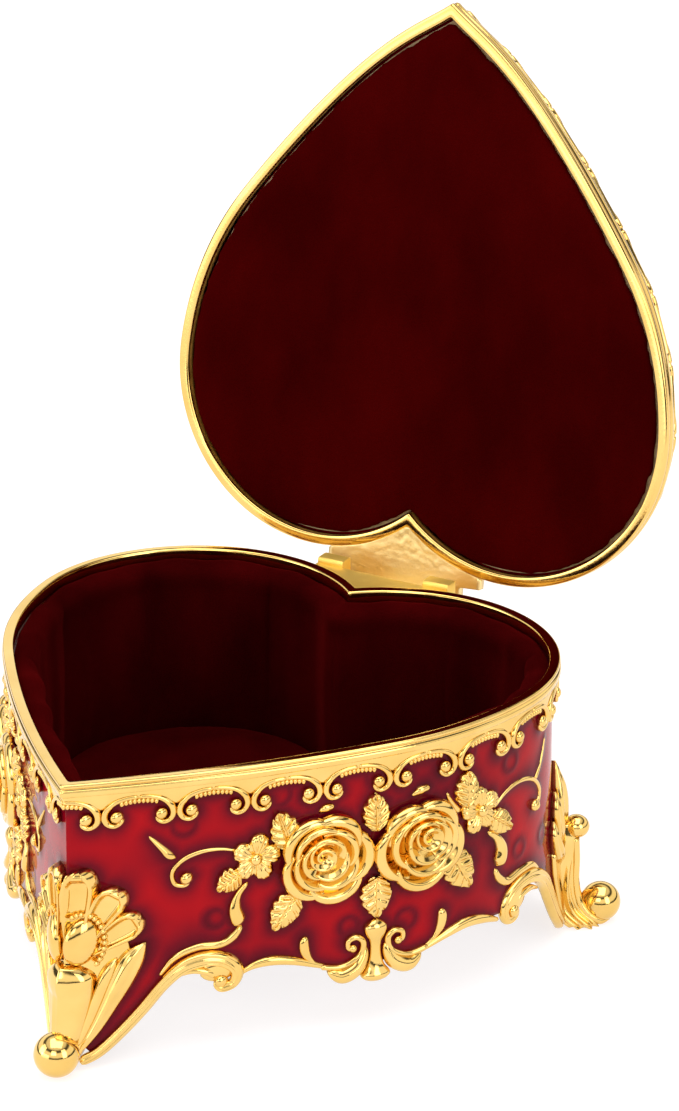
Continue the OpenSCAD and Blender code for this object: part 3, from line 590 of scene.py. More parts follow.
def band_rings(surface, top, count=14):
    """The plain gold band over the arches: its lower edge follows them from arch to arch."""
    s = np.linspace(-HALF + 0.05, HALF - 0.05, 1300)
    x = np.abs((s + PITCH / 2) % PITCH - PITCH / 2)
    low = 54.4 - 1.9 * (x / (PITCH / 2)) ** 2.2
    v = np.linspace(0, 1, count)
    z = top + (low[:, None] - top) * v
    d = 1.0 - 0.25 * v[None] - 0.35 * (1 - v[None]) ** 6 + 0 * z
    d[:, -1] = 0.1
    z = np.concatenate([z, z[:, -1:], z[:, :1]], 1)
    d = np.concatenate([d, 0 * d[:, :1] - SUNK, 0 * d[:, :1] - SUNK], 1)
    return surface(s[:, None] + 0 * z, z, d)


def rim_border():
    """The border of the box, on both sides, from the tip to the hinge's leaf."""
    shape = Shape()
    shape.loft(band_rings(wall, BAND_TOP))
    for k in ARCHES:
        parts = arch_parts(k * PITCH)
        put(shape, wall, parts)
        if k >= 0:
            MARKS.extend(p.reshape(-1, 3)[::3, :2] for p in parts)
    return shape.piece("border_scrolls", GOLD, "base", ["rim_scrollwork"])


# ---- Rim ----
def sweep(profile, path=outline, place=lambda p: p, count=700):
    """Rings of a profile of (inset, z) points carried round the whole path."""
    s = round_path(count)[:, None]
    inset, z = np.array(profile).T[:, None]
    x, y = path(s + 0 * inset, inset + 0 * s)
    return place(level(x, y, z))


def rim():
    """The rim's flat top with soft edges, a fine step on its inner edge, and a line outside."""
    top = RIM_H
    profile = [
        (0.62, top), (0.42, top - 0.04), (0.28, top - 0.2), (0.24, top - 0.5), (0.3, top - 0.74),
        (0.5, top - 0.9), (0.5, top - 1.06), (0.22, top - 1.2), (0.1, top - 1.5), (0.1, top - 2.4),
        (1.2, top - 3.0), (2.35, top - 3.1), (2.4, top - 2.2), (2.4, top - 0.4),
        (2.3, top - 0.14), (2.1, top - 0.02), (1.5, top - 0.01), (1.0, top),
    ]
    shape = Shape()
    shape.loft(sweep(profile), wrap=True)
    return shape.piece("rim_top", GOLD, "base", ["base_rim"])


# ---- Roses, leaves and small flowers on the walls ----
ROSE_EDGE = 8.6


def rose_spray_parts():
    parts = rose((50.9, 36.9), (49.4, 39.0), 20, 1.1)
    parts += rose((69.9, 36.4), (70.0, 39.0), 75, 1.1)
    leaves = [
        ((43.6, 40.2), (40.8, 48.2), 5.6), ((44.6, 30.8), (39.8, 23.9), 5.6),
        ((60.6, 41.0), (60.4, 48.8), 5.2), ((60.6, 31.4), (60.6, 22.9), 6.0),
        ((80.6, 41.2), (80.8, 48.8), 5.0), ((76.6, 32.6), (81.4, 24.4), 6.4),
        ((33.6, 36.8), (28.9, 33.9), 4.4), ((87.0, 37.2), (92.7, 33.0), 4.6),
    ]
    parts += [rose_leaf(base, tip, 1.16 * width) for base, tip, width in leaves]
    parts += flower(36.6, 39.3, 5.0, 80) + flower(84.2, 39.4, 5.0, 95)
    strokes = [
        [(34.8, 34.4, 1.0), (32.9, 32.0, 1.5), (32.3, 29.4, 2.6), (32.9, 27.0, 3.0),
         (33.5, 25.6, 1.8)],
        [(86.8, 33.8, 1.0), (89.2, 31.8, 1.7), (90.4, 29.4, 2.7), (90.0, 27.0, 3.0),
         (89.3, 25.6, 1.8)],
        [(42.6, 38.8, 0.7), (45.2, 42.6, 1.0), (46.0, 43.8, 0.5)],
        [(79.2, 40.4, 1.3), (77.0, 43.0, 1.3), (76.2, 45.2, 0.5)],
        [(48.9, 46.5, 0.5), (50.3, 47.3, 1.7), (52.2, 47.4, 1.2)],
        [(68.2, 46.4, 0.5), (70.0, 47.3, 1.7), (72.2, 47.5, 1.2)],
        [(88.4, 38.2, 0.5), (91.5, 40.3, 0.75), (95.2, 41.2, 0.85), (99.0, 40.7, 0.95),
         (102.2, 39.0, 0.95), (104.0, 36.6, 0.95), (103.6, 34.4, 1.0), (101.6, 33.6, 1.6)],
        [(102.0, 39.4, 0.9), (104.0, 41.2, 0.65), (105.4, 43.6, 0.6), (106.6, 46.6, 0.5)],
        [(32.8, 41.2, 0.5), (29.4, 42.0, 0.7), (25.6, 41.9, 0.9), (22.2, 40.7, 1.0),
         (20.2, 38.4, 1.0), (20.6, 36.0, 1.0), (22.6, 35.4, 0.9), (23.6, 36.6, 0.9)],
        [(15.6, 46.4, 0.5), (18.2, 43.6, 1.2), (19.6, 42.0, 1.5), (20.8, 41.2, 0.6)],
    ]
    parts += [stroke(path, 0.55) for path in strokes]
    parts += [blob(23.0, 37.0, 1.25, 1.25, 1.1, 0.4), blob(101.5, 34.2, 1.3, 1.2, 1.1, 0.4)]
    return parts


def rose_sprays():
    parts = rose_spray_parts()
    for side, hand in ((1, "right"), (-1, "left")):
        shape = Shape()
        put(shape, wall, parts, (side,), mark=side == 1)
        shape.piece("roses_" + hand, GOLD, "base", ["rose_spray_" + hand])


def leaf_round_rose(centre, angle, length, width, side=1):
    """A leaf that points away from a rose, at an angle from the rose's right or left."""
    a = math.radians(angle)
    out = np.array([side * math.cos(a), math.sin(a)])
    return rose_leaf(centre + ROSE_EDGE * out, centre + (ROSE_EDGE + length) * out, width)


def lobe_spray():
    """One rose with leaves and tendrils on each lobe at the back."""
    s, z = 148.0, 37.0
    parts = rose((s, z), (s, z + 1.6), 130)
    for angle, length in ((25, 8), (90, 7), (155, 8), (205, 9), (270, 8), (335, 9)):
        parts.append(leaf_round_rose((s, z), angle, length, 5.4))
    for side in BOTH:
        path = [(9.5, 1.0, 0.6), (13.5, 3.6, 0.9), (17.5, 3.0, 0.95), (19.4, 0.2, 0.95),
                (17.8, -1.8, 1.2)]
        parts.append(stroke([(s + side * x, z + y, w) for x, y, w in path], 0.55))
        parts.append(blob(s + side * 17.4, z - 1.6, 1.25, 1.2, 1.1, 0.4))
    shape = Shape()
    put(shape, wall, parts, BOTH, mark=True)
    return shape.piece("roses_back", GOLD, "base", ["lobe_sprays"])


# ---- Apron: the scrolled moulding under the wall ----
def about_foot(path):
    """The same path on the far side of the side foot."""
    return [(2 * SIDE_FOOT_S - row[0], *row[1:]) for row in path]


SCROLL_RIGHT = [
    (117.2, 1.6, 3.0), (113.4, 5.6, 3.2), (109.6, 11.2, 3.4), (106.2, 16.2, 3.4),
    (102.0, 19.0, 3.2), (97.6, 19.6, 3.0), (93.6, 18.2, 2.6), (91.8, 15.4, 2.2),
    (92.8, 12.9, 2.0), (95.2, 12.9, 1.8), (96.0, 14.8, 1.5),
]
SCROLL_INNER = [(104.0, 15.4, 0.6), (100.4, 16.9, 1.3), (97.2, 16.8, 1.5), (95.2, 15.6, 1.0)]
SCROLL_LEAF = [(104.8, 18.6, 0.8), (101.0, 21.6, 1.5), (96.4, 21.9, 1.6), (92.4, 21.4, 1.8),
               (90.0, 22.9, 1.7), (88.9, 25.2, 0.9)]
SCROLL_TIP = [
    (3.2, 1.6, 2.4), (6.6, 3.2, 2.4), (10.4, 6.6, 2.5), (14.4, 10.8, 2.6), (18.2, 15.2, 2.7),
    (22.0, 18.4, 3.2), (26.0, 19.6, 3.4), (30.0, 19.0, 3.2), (32.6, 16.6, 2.8), (32.0, 13.9, 2.4),
    (29.6, 13.2, 2.2), (28.2, 14.8, 1.7),
]
SCROLL_TIP_INNER = [(19.6, 16.2, 0.6), (23.6, 17.4, 1.3), (26.8, 16.9, 1.6), (28.6, 15.4, 1.1)]
SCROLL_TIP_LEAF = [(17.4, 17.0, 0.8), (20.6, 20.6, 1.4), (25.0, 22.2, 1.5), (29.4, 22.2, 1.6),
                   (32.0, 23.6, 1.9), (33.6, 25.6, 1.1)]
CRESCENTS = [
    [(32.4, 14.8, 0.5), (35.6, 16.6, 1.5), (39.4, 17.2, 2.1), (43.6, 16.5, 1.9), (48.0, 14.9, 1.3),
     (53.0, 13.0, 0.8)],
    [(68.4, 12.6, 0.8), (72.6, 14.1, 1.2), (77.0, 15.6, 1.9), (81.4, 16.4, 2.3), (86.0, 15.6, 1.9),
     (90.4, 13.8, 0.8)],
]


SIDE_PALMETTE_S, BACK_PALMETTE_S = 60.6, 163.0


def palmette_parts(s):
    """The ornament in the middle of each side: knob on a waisted stem, crescents, C scrolls."""
    parts = [stroke([(s, 22.5, 3.2), (s, 21.0, 4.8), (s, 19.3, 4.2), (s, 17.4, 2.4), (s, 14.8, 2.4),
                     (s, 12.6, 3.8), (s, 10.8, 6.4), (s, 9.3, 6.6)], 0.3, lift=0.35)]
    for side in BOTH:
        crescent = [(2.2, 17.4, 0.9), (2.5, 15.0, 2.2), (4.0, 12.7, 3.2), (6.9, 11.6, 3.2),
                    (9.9, 13.0, 1.2)]
        c_scroll = [(4.3, 16.6, 1.0), (5.6, 17.2, 1.1), (5.5, 18.7, 1.2), (3.9, 19.2, 1.3),
                    (2.6, 18.0, 1.4), (2.9, 15.8, 1.4), (4.6, 14.3, 1.3), (7.4, 13.5, 1.2),
                    (11.4, 14.2, 1.2)]
        leaf = [(10.4, 13.9, 0.6), (12.8, 15.5, 0.8), (14.2, 17.6, 1.9), (14.6, 19.6, 2.1),
                (14.3, 21.2, 1.2)]
        for path, rise, lift in ((crescent, 0.55, 0.2), (c_scroll, 0.6, 0.3), (leaf, 0.4, 0.2)):
            parts.append(stroke([(s + side * x, z, w) for x, z, w in path], rise, lift=lift))
        parts.append(blob(s + side * 4.7, 17.0, 0.85, 0.85, 0.8, 0.5))
    return parts


def apron():
    """Moulding from foot to foot, with its scrolls, and the palmettes as their own piece."""
    shape = Shape()
    scrolls = [(SCROLL_TIP, 0.5, 3), (SCROLL_TIP_INNER, 0.7, 0), (SCROLL_TIP_LEAF, 0.55, 0)]
    for path, *form in ((SCROLL_RIGHT, 0.5, 3), (SCROLL_INNER, 0.7, 0), (SCROLL_LEAF, 0.55, 0)):
        scrolls += [(path, *form), (about_foot(path), *form)]
    scrolls += [(path, 0.5, 0) for path in CRESCENTS]
    scrolls.append(([(150.4, 13.8, 0.6), (155.0, 15.4, 1.8), (160.0, 15.6, 2.0), (165.0, 14.2, 1.8),
                     (170.0, 13.4, 1.8), (175.4, 14.6, 2.2)], 0.5, 0))
    parts = [stroke(path, rise, ridges) for path, rise, ridges in scrolls]
    parts += [blob(29.6, 14.6, 1.3, 1.3, 1.0, 0.5), blob(94.4, 14.3, 1.3, 1.3, 1.0, 0.5)]
    hollow = blob(28.8, 16.7, 3.6, 2.3, 0.8), blob(95.4, 16.0, 3.4, 2.5, 0.8, 0, 12)
    parts += [*hollow, blob(2 * SIDE_FOOT_S - 95.4, 16.0, 3.4, 2.5, 0.8, 0, -12)]
    put(shape, wall, parts, BOTH, mark=True)
    shape.piece("apron_scrolls", GOLD, "base", ["apron_trim"])
    shape = Shape()
    put(shape, wall, palmette_parts(SIDE_PALMETTE_S), BOTH, mark=True)
    # At the back the two leaves are left out
    back = palmette_parts(BACK_PALMETTE_S)
    put(shape, wall, back[:3] + back[4:7] + back[8:], BOTH, mark=True)
    return shape.piece("apron_palmettes_cast", GOLD, "base", ["apron_palmettes"])


# ---- Front foot: a shell that wraps the tip, over a polished ball ----
def front_ball():
    return np.array([0.0, TIP_Y + WALL_SET - 4.2, FRONT_BALL_R])


def ball_rings(centre, r, squash=1.0, rings=28, sides=48):
    """Rings of a ball, or of one flattened by squash, about centre."""
    lat = np.linspace(-np.pi / 2 + 0.02, np.pi / 2 - 0.02, rings)[:, None]
    lon = np.linspace(0, 2 * np.pi, sides, endpoint=False)[None]
    return centre + np.stack([r * np.cos(lat) * np.cos(lon), r * np.cos(lat) * np.sin(lon),
                              r * squash * np.sin(lat) + 0 * lon], -1)


def tongue():
    """The leaf that runs down the corner onto the ball, with a sunk middle and flutes."""
    z = np.linspace(6.6, 21.6, 34)
    u = (z - z[0]) / (z[-1] - z[0])
    half = 3.0 + 1.7 * np.sin(np.pi * u * 0.6) - 2.6 * np.clip((u - 0.8) / 0.2, 0, 1) ** 2
    out = 4.8 - 2.3 * u + 1.0 * np.sin(np.pi * np.clip((u - 0.6) / 0.4, 0, 1))
    v = np.linspace(-1, 1, 25)
    belly = np.sqrt(np.maximum(1 - np.abs(v) ** 2.4, 0))
    groove = 0.55 * np.exp(-((v / 0.2) ** 2)) * np.clip(1 - u[:, None] * 1.15, 0, 1)
    flute = 0.12 * np.cos(v * 16) * np.clip(1 - u[:, None] * 1.1, 0, 1)
    x = half[:, None] * v
    reach = out[:, None] * (0.42 + 0.58 * belly) - groove + flute
    y = TIP_Y + WALL_SET - reach + np.abs(x) * 0.55
    top = np.stack([x, y, z[:, None] + 0 * x], -1)
    under = top[:, [-1, 0]].copy()
    under[..., 1] += 3.4
    return np.concatenate([top, under], 1)


def ground_rings(z_at, half_at, out):
    """Rings of a plain casting as wide as half_at each side at the heights z_at."""
    z = np.linspace(z_at[0], z_at[-1], 30)
    half = np.interp(z, z_at, half_at)
    v = np.linspace(-1, 1, 41)
    top = np.stack([half[:, None] * v, z[:, None] + 0 * v, out + 0 * half[:, None] * v], -1)
    under = top[:, ::-1].copy()
    under[..., 2] = -SUNK
    return np.concatenate([top, under], 1)


def front_foot():
    shape = Shape()
    shape.loft(ball_rings(front_ball(), FRONT_BALL_R))
    shape.loft(tongue())
    ground = ground_rings(
        [2.6, 8, 13, 18, 23, 27, 31], [3.2, 6.0, 8.6, 10.9, 12.4, 11.0, 7.0], 0.9)
    shape.loft(wall(ground[..., 0], ground[..., 1], ground[..., 2]))
    parts = [
        spoon((2.6, 25.0), (3.5, 41.2), 7.0, 2.3, 1.0, 0.2),
        spoon((4.6, 27.0), (10.6, 36.4), 6.8, 2.1, 0.9, 0.2),
        spoon((5.4, 24.6), (14.6, 30.0), 6.4, 1.9, 0.8, 0.2),
        stroke([(15.0, 24.6, 0.8), (13.0, 22.0, 4.2), (10.9, 17.8, 4.6), (8.5, 12.9, 3.4),
                (6.0, 8.0, 2.2), (3.2, 3.8, 1.0)], 0.42, 2, 0.5),
        stroke([(9.8, 22.4, 0.8), (8.6, 19.6, 2.6), (6.8, 15.0, 2.6), (5.2, 10.4, 2.0),
                (3.2, 5.2, 0.9)], 0.5, 0, 0.8),
        blob(3.6, 26.6, 3.4, 5.0, 2.5, 1.2, -10, 16, 32),
        stroke([(0.5, 30.4, 1.4), (0.7, 34.4, 1.7), (0.9, 38.4, 1.5), (0.7, 40.4, 0.8)],
               0.7, 0, 1.0),
    ]
    for i in range(15):
        a = math.radians(112 - i * 11.5)
        parts.append(blob(3.9 + 4.3 * math.cos(a), 26.5 + 5.9 * math.sin(a), 0.55, 0.55, 0.55, 2.0,
                          rings=6, sides=10))
    put(shape, wall, parts, BOTH, mark=True)
    return shape.piece("front_foot_shell", GOLD, "base", ["front_foot"])


# ---- Side feet: fluted stem under a knob, with a ball toe ----
TOE_REACH = 10.5


def foot_frame(side):
    """Origin on the wall's face, outward and sideways directions of a side foot."""
    a = math.radians(SIDE_FOOT_ANGLE)
    out, across = np.array([math.cos(a), math.sin(a)]), np.array([-math.sin(a), math.cos(a)])
    flip = np.array([side, 1.0])
    return (LOBE_C + (LOBE_R - WALL_SET) * out) * flip, out * flip, across * flip


def in_foot(side, rings):
    """Rings in (sideways, out, up) millimetres of a side foot, put in the box's frame."""
    origin, out, across = foot_frame(side)
    flat = origin + rings[..., 1:2] * out + rings[..., 0:1] * across
    return np.concatenate([flat, rings[..., 2:3]], -1)


def stem_rings():
    """The stem from the knob to the sole: it widens downwards and is cut by deep flutes."""
    control = smooth([
        (21.5, 1.6, 4.6, 1.8), (18.5, 2.3, 5.7, 1.4), (15.0, 2.4, 5.5, 0.8), (11.0, 2.9, 5.1, 0.2),
        (7.0, 3.6, 5.2, -0.4), (3.6, 4.2, 6.6, 0.2), (1.2, 4.5, 9.2, 2.2), (0.05, 4.3, 10.2, 3.4),
    ], 6)
    turn = np.linspace(0, 2 * np.pi, 64, endpoint=False)
    rings = []
    for z, half, outer, inner in control:
        middle, deep = (outer + inner) / 2, (outer - inner) / 2
        flute = 0.14 * np.clip((16 - z) / 8, 0, 1) * np.cos(turn * 11)
        x = half * np.sign(np.cos(turn)) * np.abs(np.cos(turn)) ** 0.8 * (1 + flute)
        y = middle + deep * np.sign(np.sin(turn)) * np.abs(np.sin(turn)) ** 0.8 * (1 + flute)
        rings.append(np.stack([x, y, max(z, 0.02) + 0 * turn], -1))
    return np.array(rings)


def foot_tube(path, sides=20):
    """A round bar through (sideways, out, up, radius) points of a side foot."""
    p = smooth(path, 8)
    along = np.gradient(p[:, :3], axis=0)
    along /= np.linalg.norm(along, axis=1, keepdims=True)
    a = np.cross(along, np.array([1.0, 0.15, 0.0]))
    a /= np.linalg.norm(a, axis=1, keepdims=True)
    b = np.cross(along, a)
    turn = np.linspace(0, 2 * np.pi, sides, endpoint=False)
    r = p[:, 3][:, None, None]
    c, s = np.cos(turn)[None, :, None], np.sin(turn)[None, :, None]
    return p[:, None, :3] + r * (c * a[:, None] + s * b[:, None])


def side_foot(side, hand):
    """One side foot: stem, ball toe, knob and two ribs, with leaves on the wall above them."""
    shape = Shape()
    shape.loft(in_foot(side, stem_rings()))
    shape.loft(in_foot(side, ball_rings(np.array([0, TOE_REACH, SIDE_BALL_R]), SIDE_BALL_R)))
    shape.loft(in_foot(side, ball_rings(np.array([0, 5.4, 20.6]), 2.6, 0.9)))
    rib = [(1.3, 5.0, 18.6, 0.9), (1.3, 5.2, 14.0, 0.9), (1.7, 5.1, 9.6, 0.9), (2.3, 5.8, 5.6, 0.9),
           (2.7, 7.6, 2.6, 0.9), (2.4, 10.0, 0.95, 0.85), (1.4, 12.0, 1.0, 0.5)]
    middle = [(0, 19, 4.0), (0, 25, 5.6), (0.2, 29.6, 4.6), (0, 33, 2.0), (0, 35, 0.6)]
    beside = [
        [(1.8, 18, 2.4), (4.0, 22.6, 4.0), (5.4, 27.0, 3.2), (5.0, 30.6, 0.7)],
        [(3.0, 15, 2.2), (6.2, 18.6, 3.8), (8.0, 22.4, 2.8), (7.6, 25.4, 0.7)],
    ]
    for x in (-1, 1):
        shape.loft(in_foot(side, foot_tube([(x * row[0], *row[1:]) for row in rib])))
    leaves = [stroke(middle, 0.5, 2, 0.9)]
    for x in (-1, 1):
        leaves += [stroke([(x * a, z, w) for a, z, w in path], 0.5, 2, 0.8) for path in beside]
    leaves.append(ground_rings([2.4, 8, 14, 18, 21, 24], [4.6, 6.4, 8.4, 8.6, 6.8, 3.4], 1.1))
    for rings in leaves:
        rings[..., 0] += SIDE_FOOT_S
        shape.loft(wall(side * rings[..., 0], rings[..., 1], rings[..., 2]))
        if side == 1:
            MARKS.append(rings.reshape(-1, 3)[::3, :2])
    return shape.piece("side_foot_" + hand, GOLD, "base", [hand + "_foot"])


# ---- Enamelled wall ----
LOW_EDGE = np.array([
    (0, 9.0), (5, 3.4), (10, 6.6), (14.2, 10.8), (18, 15.0), (22, 17.4), (27, 17.6), (33, 15.6),
    (38.5, 17.0), (44.5, 16.2), (50, 14.3), (54, 13.2), (60.5, 13.2), (67, 13.0), (71, 13.8),
    (76.5, 15.4), (81.5, 16.3), (86.5, 15.4), (91, 15.0), (96, 17.4), (101, 18.8), (105, 17.0),
    (109.6, 11.2), (113.4, 5.6), (117, 3.6), (SIDE_FOOT_S, 3.4),
])
# Round dimples in the enamel: distance from the tip, height and radius
BUBBLES = [(41.2, 51.4, 2.1), (60.6, 52.0, 1.9), (81.2, 52.0, 1.9), (55.2, 21.6, 1.9),
           (67.2, 20.8, 2.1), (22.4, 48.0, 2.3), (28.4, 27.6, 1.8), (96.6, 26.8, 1.8),
           (93.4, 46.4, 2.0), (106.4, 26.0, 1.8)]
ENAMEL_TOP = 55.4


def low_edge(a):
    """Height of the enamel's lower edge, behind the moulding, at distance a from the tip."""
    near = np.interp(a, LOW_EDGE[:, 0], LOW_EDGE[:, 1])
    far = np.interp(2 * SIDE_FOOT_S - a, LOW_EDGE[:, 0], LOW_EDGE[:, 1])
    past = np.clip((a - SIDE_FOOT_S) / 28, 0, 1)
    return np.where(a < SIDE_FOOT_S, near, np.where(past < 1, far, 15.0))


def mark_tree():
    """A search tree over the points of all the relief on the walls."""
    marks = np.concatenate(MARKS)
    tree = kdtree.KDTree(len(marks))
    for i, (s, z) in enumerate(marks):
        tree.insert((s, z, 0), i)
    tree.balance()
    return tree


def pool_and_shade_at(tree, a, z):
    """How thick the enamel lies at a place, and how dark painted shade and painted reflection make
    it: deep and dark against the relief, with a slow ripple.
    """
    near = tree.find((a, z, 0))[2]
    for s, h, r in BUBBLES:
        q = math.hypot(a - s, z - h)
        if q < 2 * r:
            near = min(near, 0.25 + abs(q - r) * 1.6)
    drift = ripple(a / 15.0, z / 9.0, 3.1) + 0.3 * ripple(a / 6.0, z / 4.4, 8.7)
    pool_and_shade = 0.8 * math.exp(-near / 2.0) + 0.3 * drift + 0.1
    return near, min(max(pool_and_shade, 0.0), 1.0)


def set_pool_and_shade(obj, values):
    """Writes the enamel's thickness, with its painted shade, for the material. Points past the
    values lie deep and dark.
    """
    filled = np.ones(len(obj.data.vertices), np.float32)
    filled[:values.size] = values.reshape(-1)
    obj.data.attributes.new("pool_and_shade", "FLOAT", "POINT").data.foreach_set("value", filled)


def enamel_wall():
    """The red wall, from behind the border down to the moulding, with pooled enamel and painted
    shade and painted reflection darkening it near the relief.
    """
    tree = mark_tree()
    s = np.linspace(-HALF, HALF, 641)
    v = np.linspace(0, 1, 66)
    low = low_edge(np.abs(s))
    z = low[:, None] + (ENAMEL_TOP - low[:, None]) * v[None]
    swell, pool_and_shade = np.zeros_like(z), np.zeros_like(z)
    for i in range(len(s)):
        for j in range(len(v)):
            # depth here is the enamel's pooling together with painted shade and painted reflection
            # near the relief.
            near, depth = pool_and_shade_at(tree, abs(s[i]), z[i, j])
            pool_and_shade[i, j] = depth
            swell[i, j] = 0.30 * math.exp(-near / 0.9) - 0.16 * depth
    grid = s[:, None] + 0 * z
    outer = wall(grid, z, swell)
    inner = wall(grid, z, np.full_like(z, -WALL_T))
    ring = np.concatenate([outer, inner[:, ::-1]], 1)
    shape = Shape()
    shape.loft(ring)
    obj = shape.piece("enamel_wall", ENAMEL, "base", ["base_wall"])
    set_pool_and_shade(obj, np.concatenate([pool_and_shade, np.ones_like(pool_and_shade)], 1))
    return obj


# ---- Lid ----
def lid_frame():
    """The lid's frame: a flat face with an inner and an outer lip, and a rounded edge."""
    z = LID_Z
    profile = [
        (0.5, z), (0.2, z + 0.06), (0.04, z + 0.3), (0.0, z + 0.8), (0.02, z + 1.3),
        (0.22, z + 1.5), (0.22, z + 1.66), (0.04, z + 1.85), (0.0, z + 2.4), (0.1, z + 3.0),
        (0.6, z + 3.6), (1.2, z + 4.1), (1.9, z + 4.3), (2.2, z + 3.6), (2.2, z + 0.6),
        (2.14, z + 0.2), (1.98, z + 0.04),
        (1.6, z), (1.1, z),
    ]
    shape = Shape()
    shape.loft(sweep(profile, lid_outline, lid_open), wrap=True)
    return shape.piece("lid_frame_cast", GOLD, "lid", ["lid_frame"])


def lid_shell():
    """The domed lid: enamel outside, a plain casting inside."""
    x, y = lid_outline(round_path(520), SHELL_INSET)
    rings = []
    for f in 1 - np.linspace(0, 1, 46) ** 1.6 * 0.995:
        height = LID_TOP + 1 + LID_CROWN * np.sqrt(np.maximum(1 - f ** 3, 0))
        rings.append(level(*toward_crown(x, y, f), height))
    outer = np.array(rings)
    inner = outer[::-1].copy()
    shrink = np.array([*DOME_CENTRE, LID_TOP + 0.4])
    inner = shrink + (inner - shrink) * np.array([0.975, 0.975, 0.86])
    shape = Shape()
    shape.loft(lid_open(np.concatenate([outer, inner])), wrap=True)
    obj = shape.piece("lid_enamel", ENAMEL, "lid", ["lid_shell"])
    pool_and_shade = []
    for x, y, _ in np.concatenate([outer.reshape(-1, 3), inner.reshape(-1, 3)]):
        drift = ripple(x / 11, y / 11, 5.0) + 0.5 * ripple(x / 4, y / 4, 1.0)
        pool_and_shade.append(min(max(0.3 + 0.4 * drift, 0), 1))
    set_pool_and_shade(obj, np.array(pool_and_shade))
    return obj


def lid_ornament():
    """The border round the lid's top and the spray in its middle."""
    shape = Shape()
    for k in ARCHES:
        put(shape, lid_edge, arch_parts(k * PITCH))
    shape.loft(band_rings(lid_edge, LID_EDGE_Z))
    shape.piece("lid_border_scrolls", GOLD, "lid", ["lid_border"])
    shape = Shape()
    apart = 9.6
    parts = rose((-apart, 0), (-apart, 1.4), 20) + rose((apart, 0), (apart, 1.4), 75)
    for side in BOTH:
        for angle in (-70, -25, 25, 70):
            parts.append(leaf_round_rose((side * apart, 0.0), angle, 9, 5.6, side))
        path = [(19, 2, 0.6), (24, 5, 0.9), (28.6, 4.4, 1.0), (30.6, 1.2, 1.0), (28.6, -1.2, 1.3)]
        parts.append(stroke([(side * x, z, w) for x, z, w in path], 0.55))
        parts.append(blob(side * 28.2, -0.8, 1.3, 1.2, 1.1, 0.4))
    put(shape, lid_top, parts)
    return shape.piece("lid_roses", GOLD, "lid", ["lid_rose_spray"])


# ---- Hinge ----
LEAF_TOP, BLOCK_TOP = 57.2, 58.4
WEB_END = 36.4
WEB_HALF, TONGUE_HALF = 17.5, 13.0


def notch_half(y, inset):
    """Half the gap between the lobes, outside the outline set in by inset, at y."""
    r = LOBE_R - inset
    return np.maximum(LOBE_C[0] - np.sqrt(np.maximum(r * r - y * y, 0)), 0.05)


def plate_rings(y, half, low, high, dents):
    """A plate across the notch: rows of y, with a hammered upper or lower face."""
    v = np.linspace(-1, 1, 41)
    x = half[:, None] * v
    yy = y[:, None] + 0 * x
    wave = [[ripple(a / 1.2, b / 1.2, 2.0) for a, b in zip(*row)] for row in zip(x, yy)]
    wave = dents * np.array(wave)
    top = np.stack([x, yy, high + wave], -1)
    under = np.stack([x, yy, low - wave], -1)[:, ::-1]
    return np.concatenate([top, under], 1)


def knuckle_rings(start, length, r=1.7):
    """A knuckle of the hinge, with softened ends, along the hinge axis."""
    x = start + np.array([0, 0.05, 0.25, length - 0.25, length - 0.05, length])
    radius = r - np.array([0.3, 0.1, 0, 0, 0.1, 0.3])
    turn = np.linspace(0, 2 * np.pi, 32, endpoint=False)
    y, z = radius[:, None] * np.cos(turn), radius[:, None] * np.sin(turn)
    return np.stack([x[:, None] + 0 * turn, HINGE_Y + y, HINGE_Z + z], -1)


def block_rings(x0, x1, y0, y1, z0, z1, soft=0.25):
    """A block with softened edges, as rings along X."""
    x = np.array([x0, x0 + soft * 0.3, x0 + soft, x1 - soft, x1 - soft * 0.3, x1])
    pull = np.array([1, 0.3, 0, 0, 0.3, 1]) * soft
    turn = np.linspace(0, 2 * np.pi, 40, endpoint=False)
    c, s = np.cos(turn), np.sin(turn)
    square = np.maximum(np.abs(c), np.abs(s))
    corner = 1 / square * (1 - 0.06 * (np.minimum(np.abs(c), np.abs(s)) / square) ** 6)
    y = (y0 + y1) / 2 + ((y1 - y0) / 2 - pull[:, None]) * c * corner
    z = (z0 + z1) / 2 + ((z1 - z0) / 2 - pull[:, None]) * s * corner
    return np.stack([x[:, None] + 0 * y, y, z], -1)


def hinge():
    """Both leaves: the base's flat one, and the lid's hammered web that folds to the pin."""
    cleft = math.sqrt(LOBE_R ** 2 - LOBE_C[0] ** 2)
    shape = Shape()
    y = np.linspace(cleft - 1.4, HINGE_Y - 2.1, 24)
    half = np.minimum(notch_half(y, WALL_SET) + 0.3, PIN_HALF)
    shape.loft(plate_rings(y, half, HINGE_Z - 1.6, LEAF_TOP, 0.03))
    for side in BOTH:
        edge = sorted((side * PIN_HALF, side * (PIN_HALF - KNUCKLE_L)))
        shape.loft(block_rings(*edge, HINGE_Y - 2.2, HINGE_Y + 1.4, HINGE_Z - 1.2, BLOCK_TOP))
        shape.loft(knuckle_rings(edge[0], KNUCKLE_L))
    shape.piece("hinge_leaf_base", GOLD_LEAF, "base", ["base_hinge_leaf"])

    shape = Shape()
    y = np.linspace(cleft + 0.1, HINGE_Y + 1.1, 40)
    half = np.where(y < WEB_END, np.minimum(notch_half(y, 0) + 0.25, WEB_HALF), TONGUE_HALF)
    shape.loft(lid_open(plate_rings(y, half, LID_Z + 0.2, LID_Z + 2.0, 0.09)))
    inner = PIN_HALF - KNUCKLE_L - 0.2
    neck = block_rings(-inner, inner, HINGE_Y - 1.1, HINGE_Y + 1.1, HINGE_Z + 0.4, LID_Z + 0.9)
    shape.loft(lid_open(neck))
    shape.loft(lid_open(knuckle_rings(-inner, 2 * inner)))
    shape.piece("hinge_web_lid", GOLD_HAMMERED, "lid", ["lid_hinge_leaf"])


# ---- Velvet ----
PRESSURE = 4.0


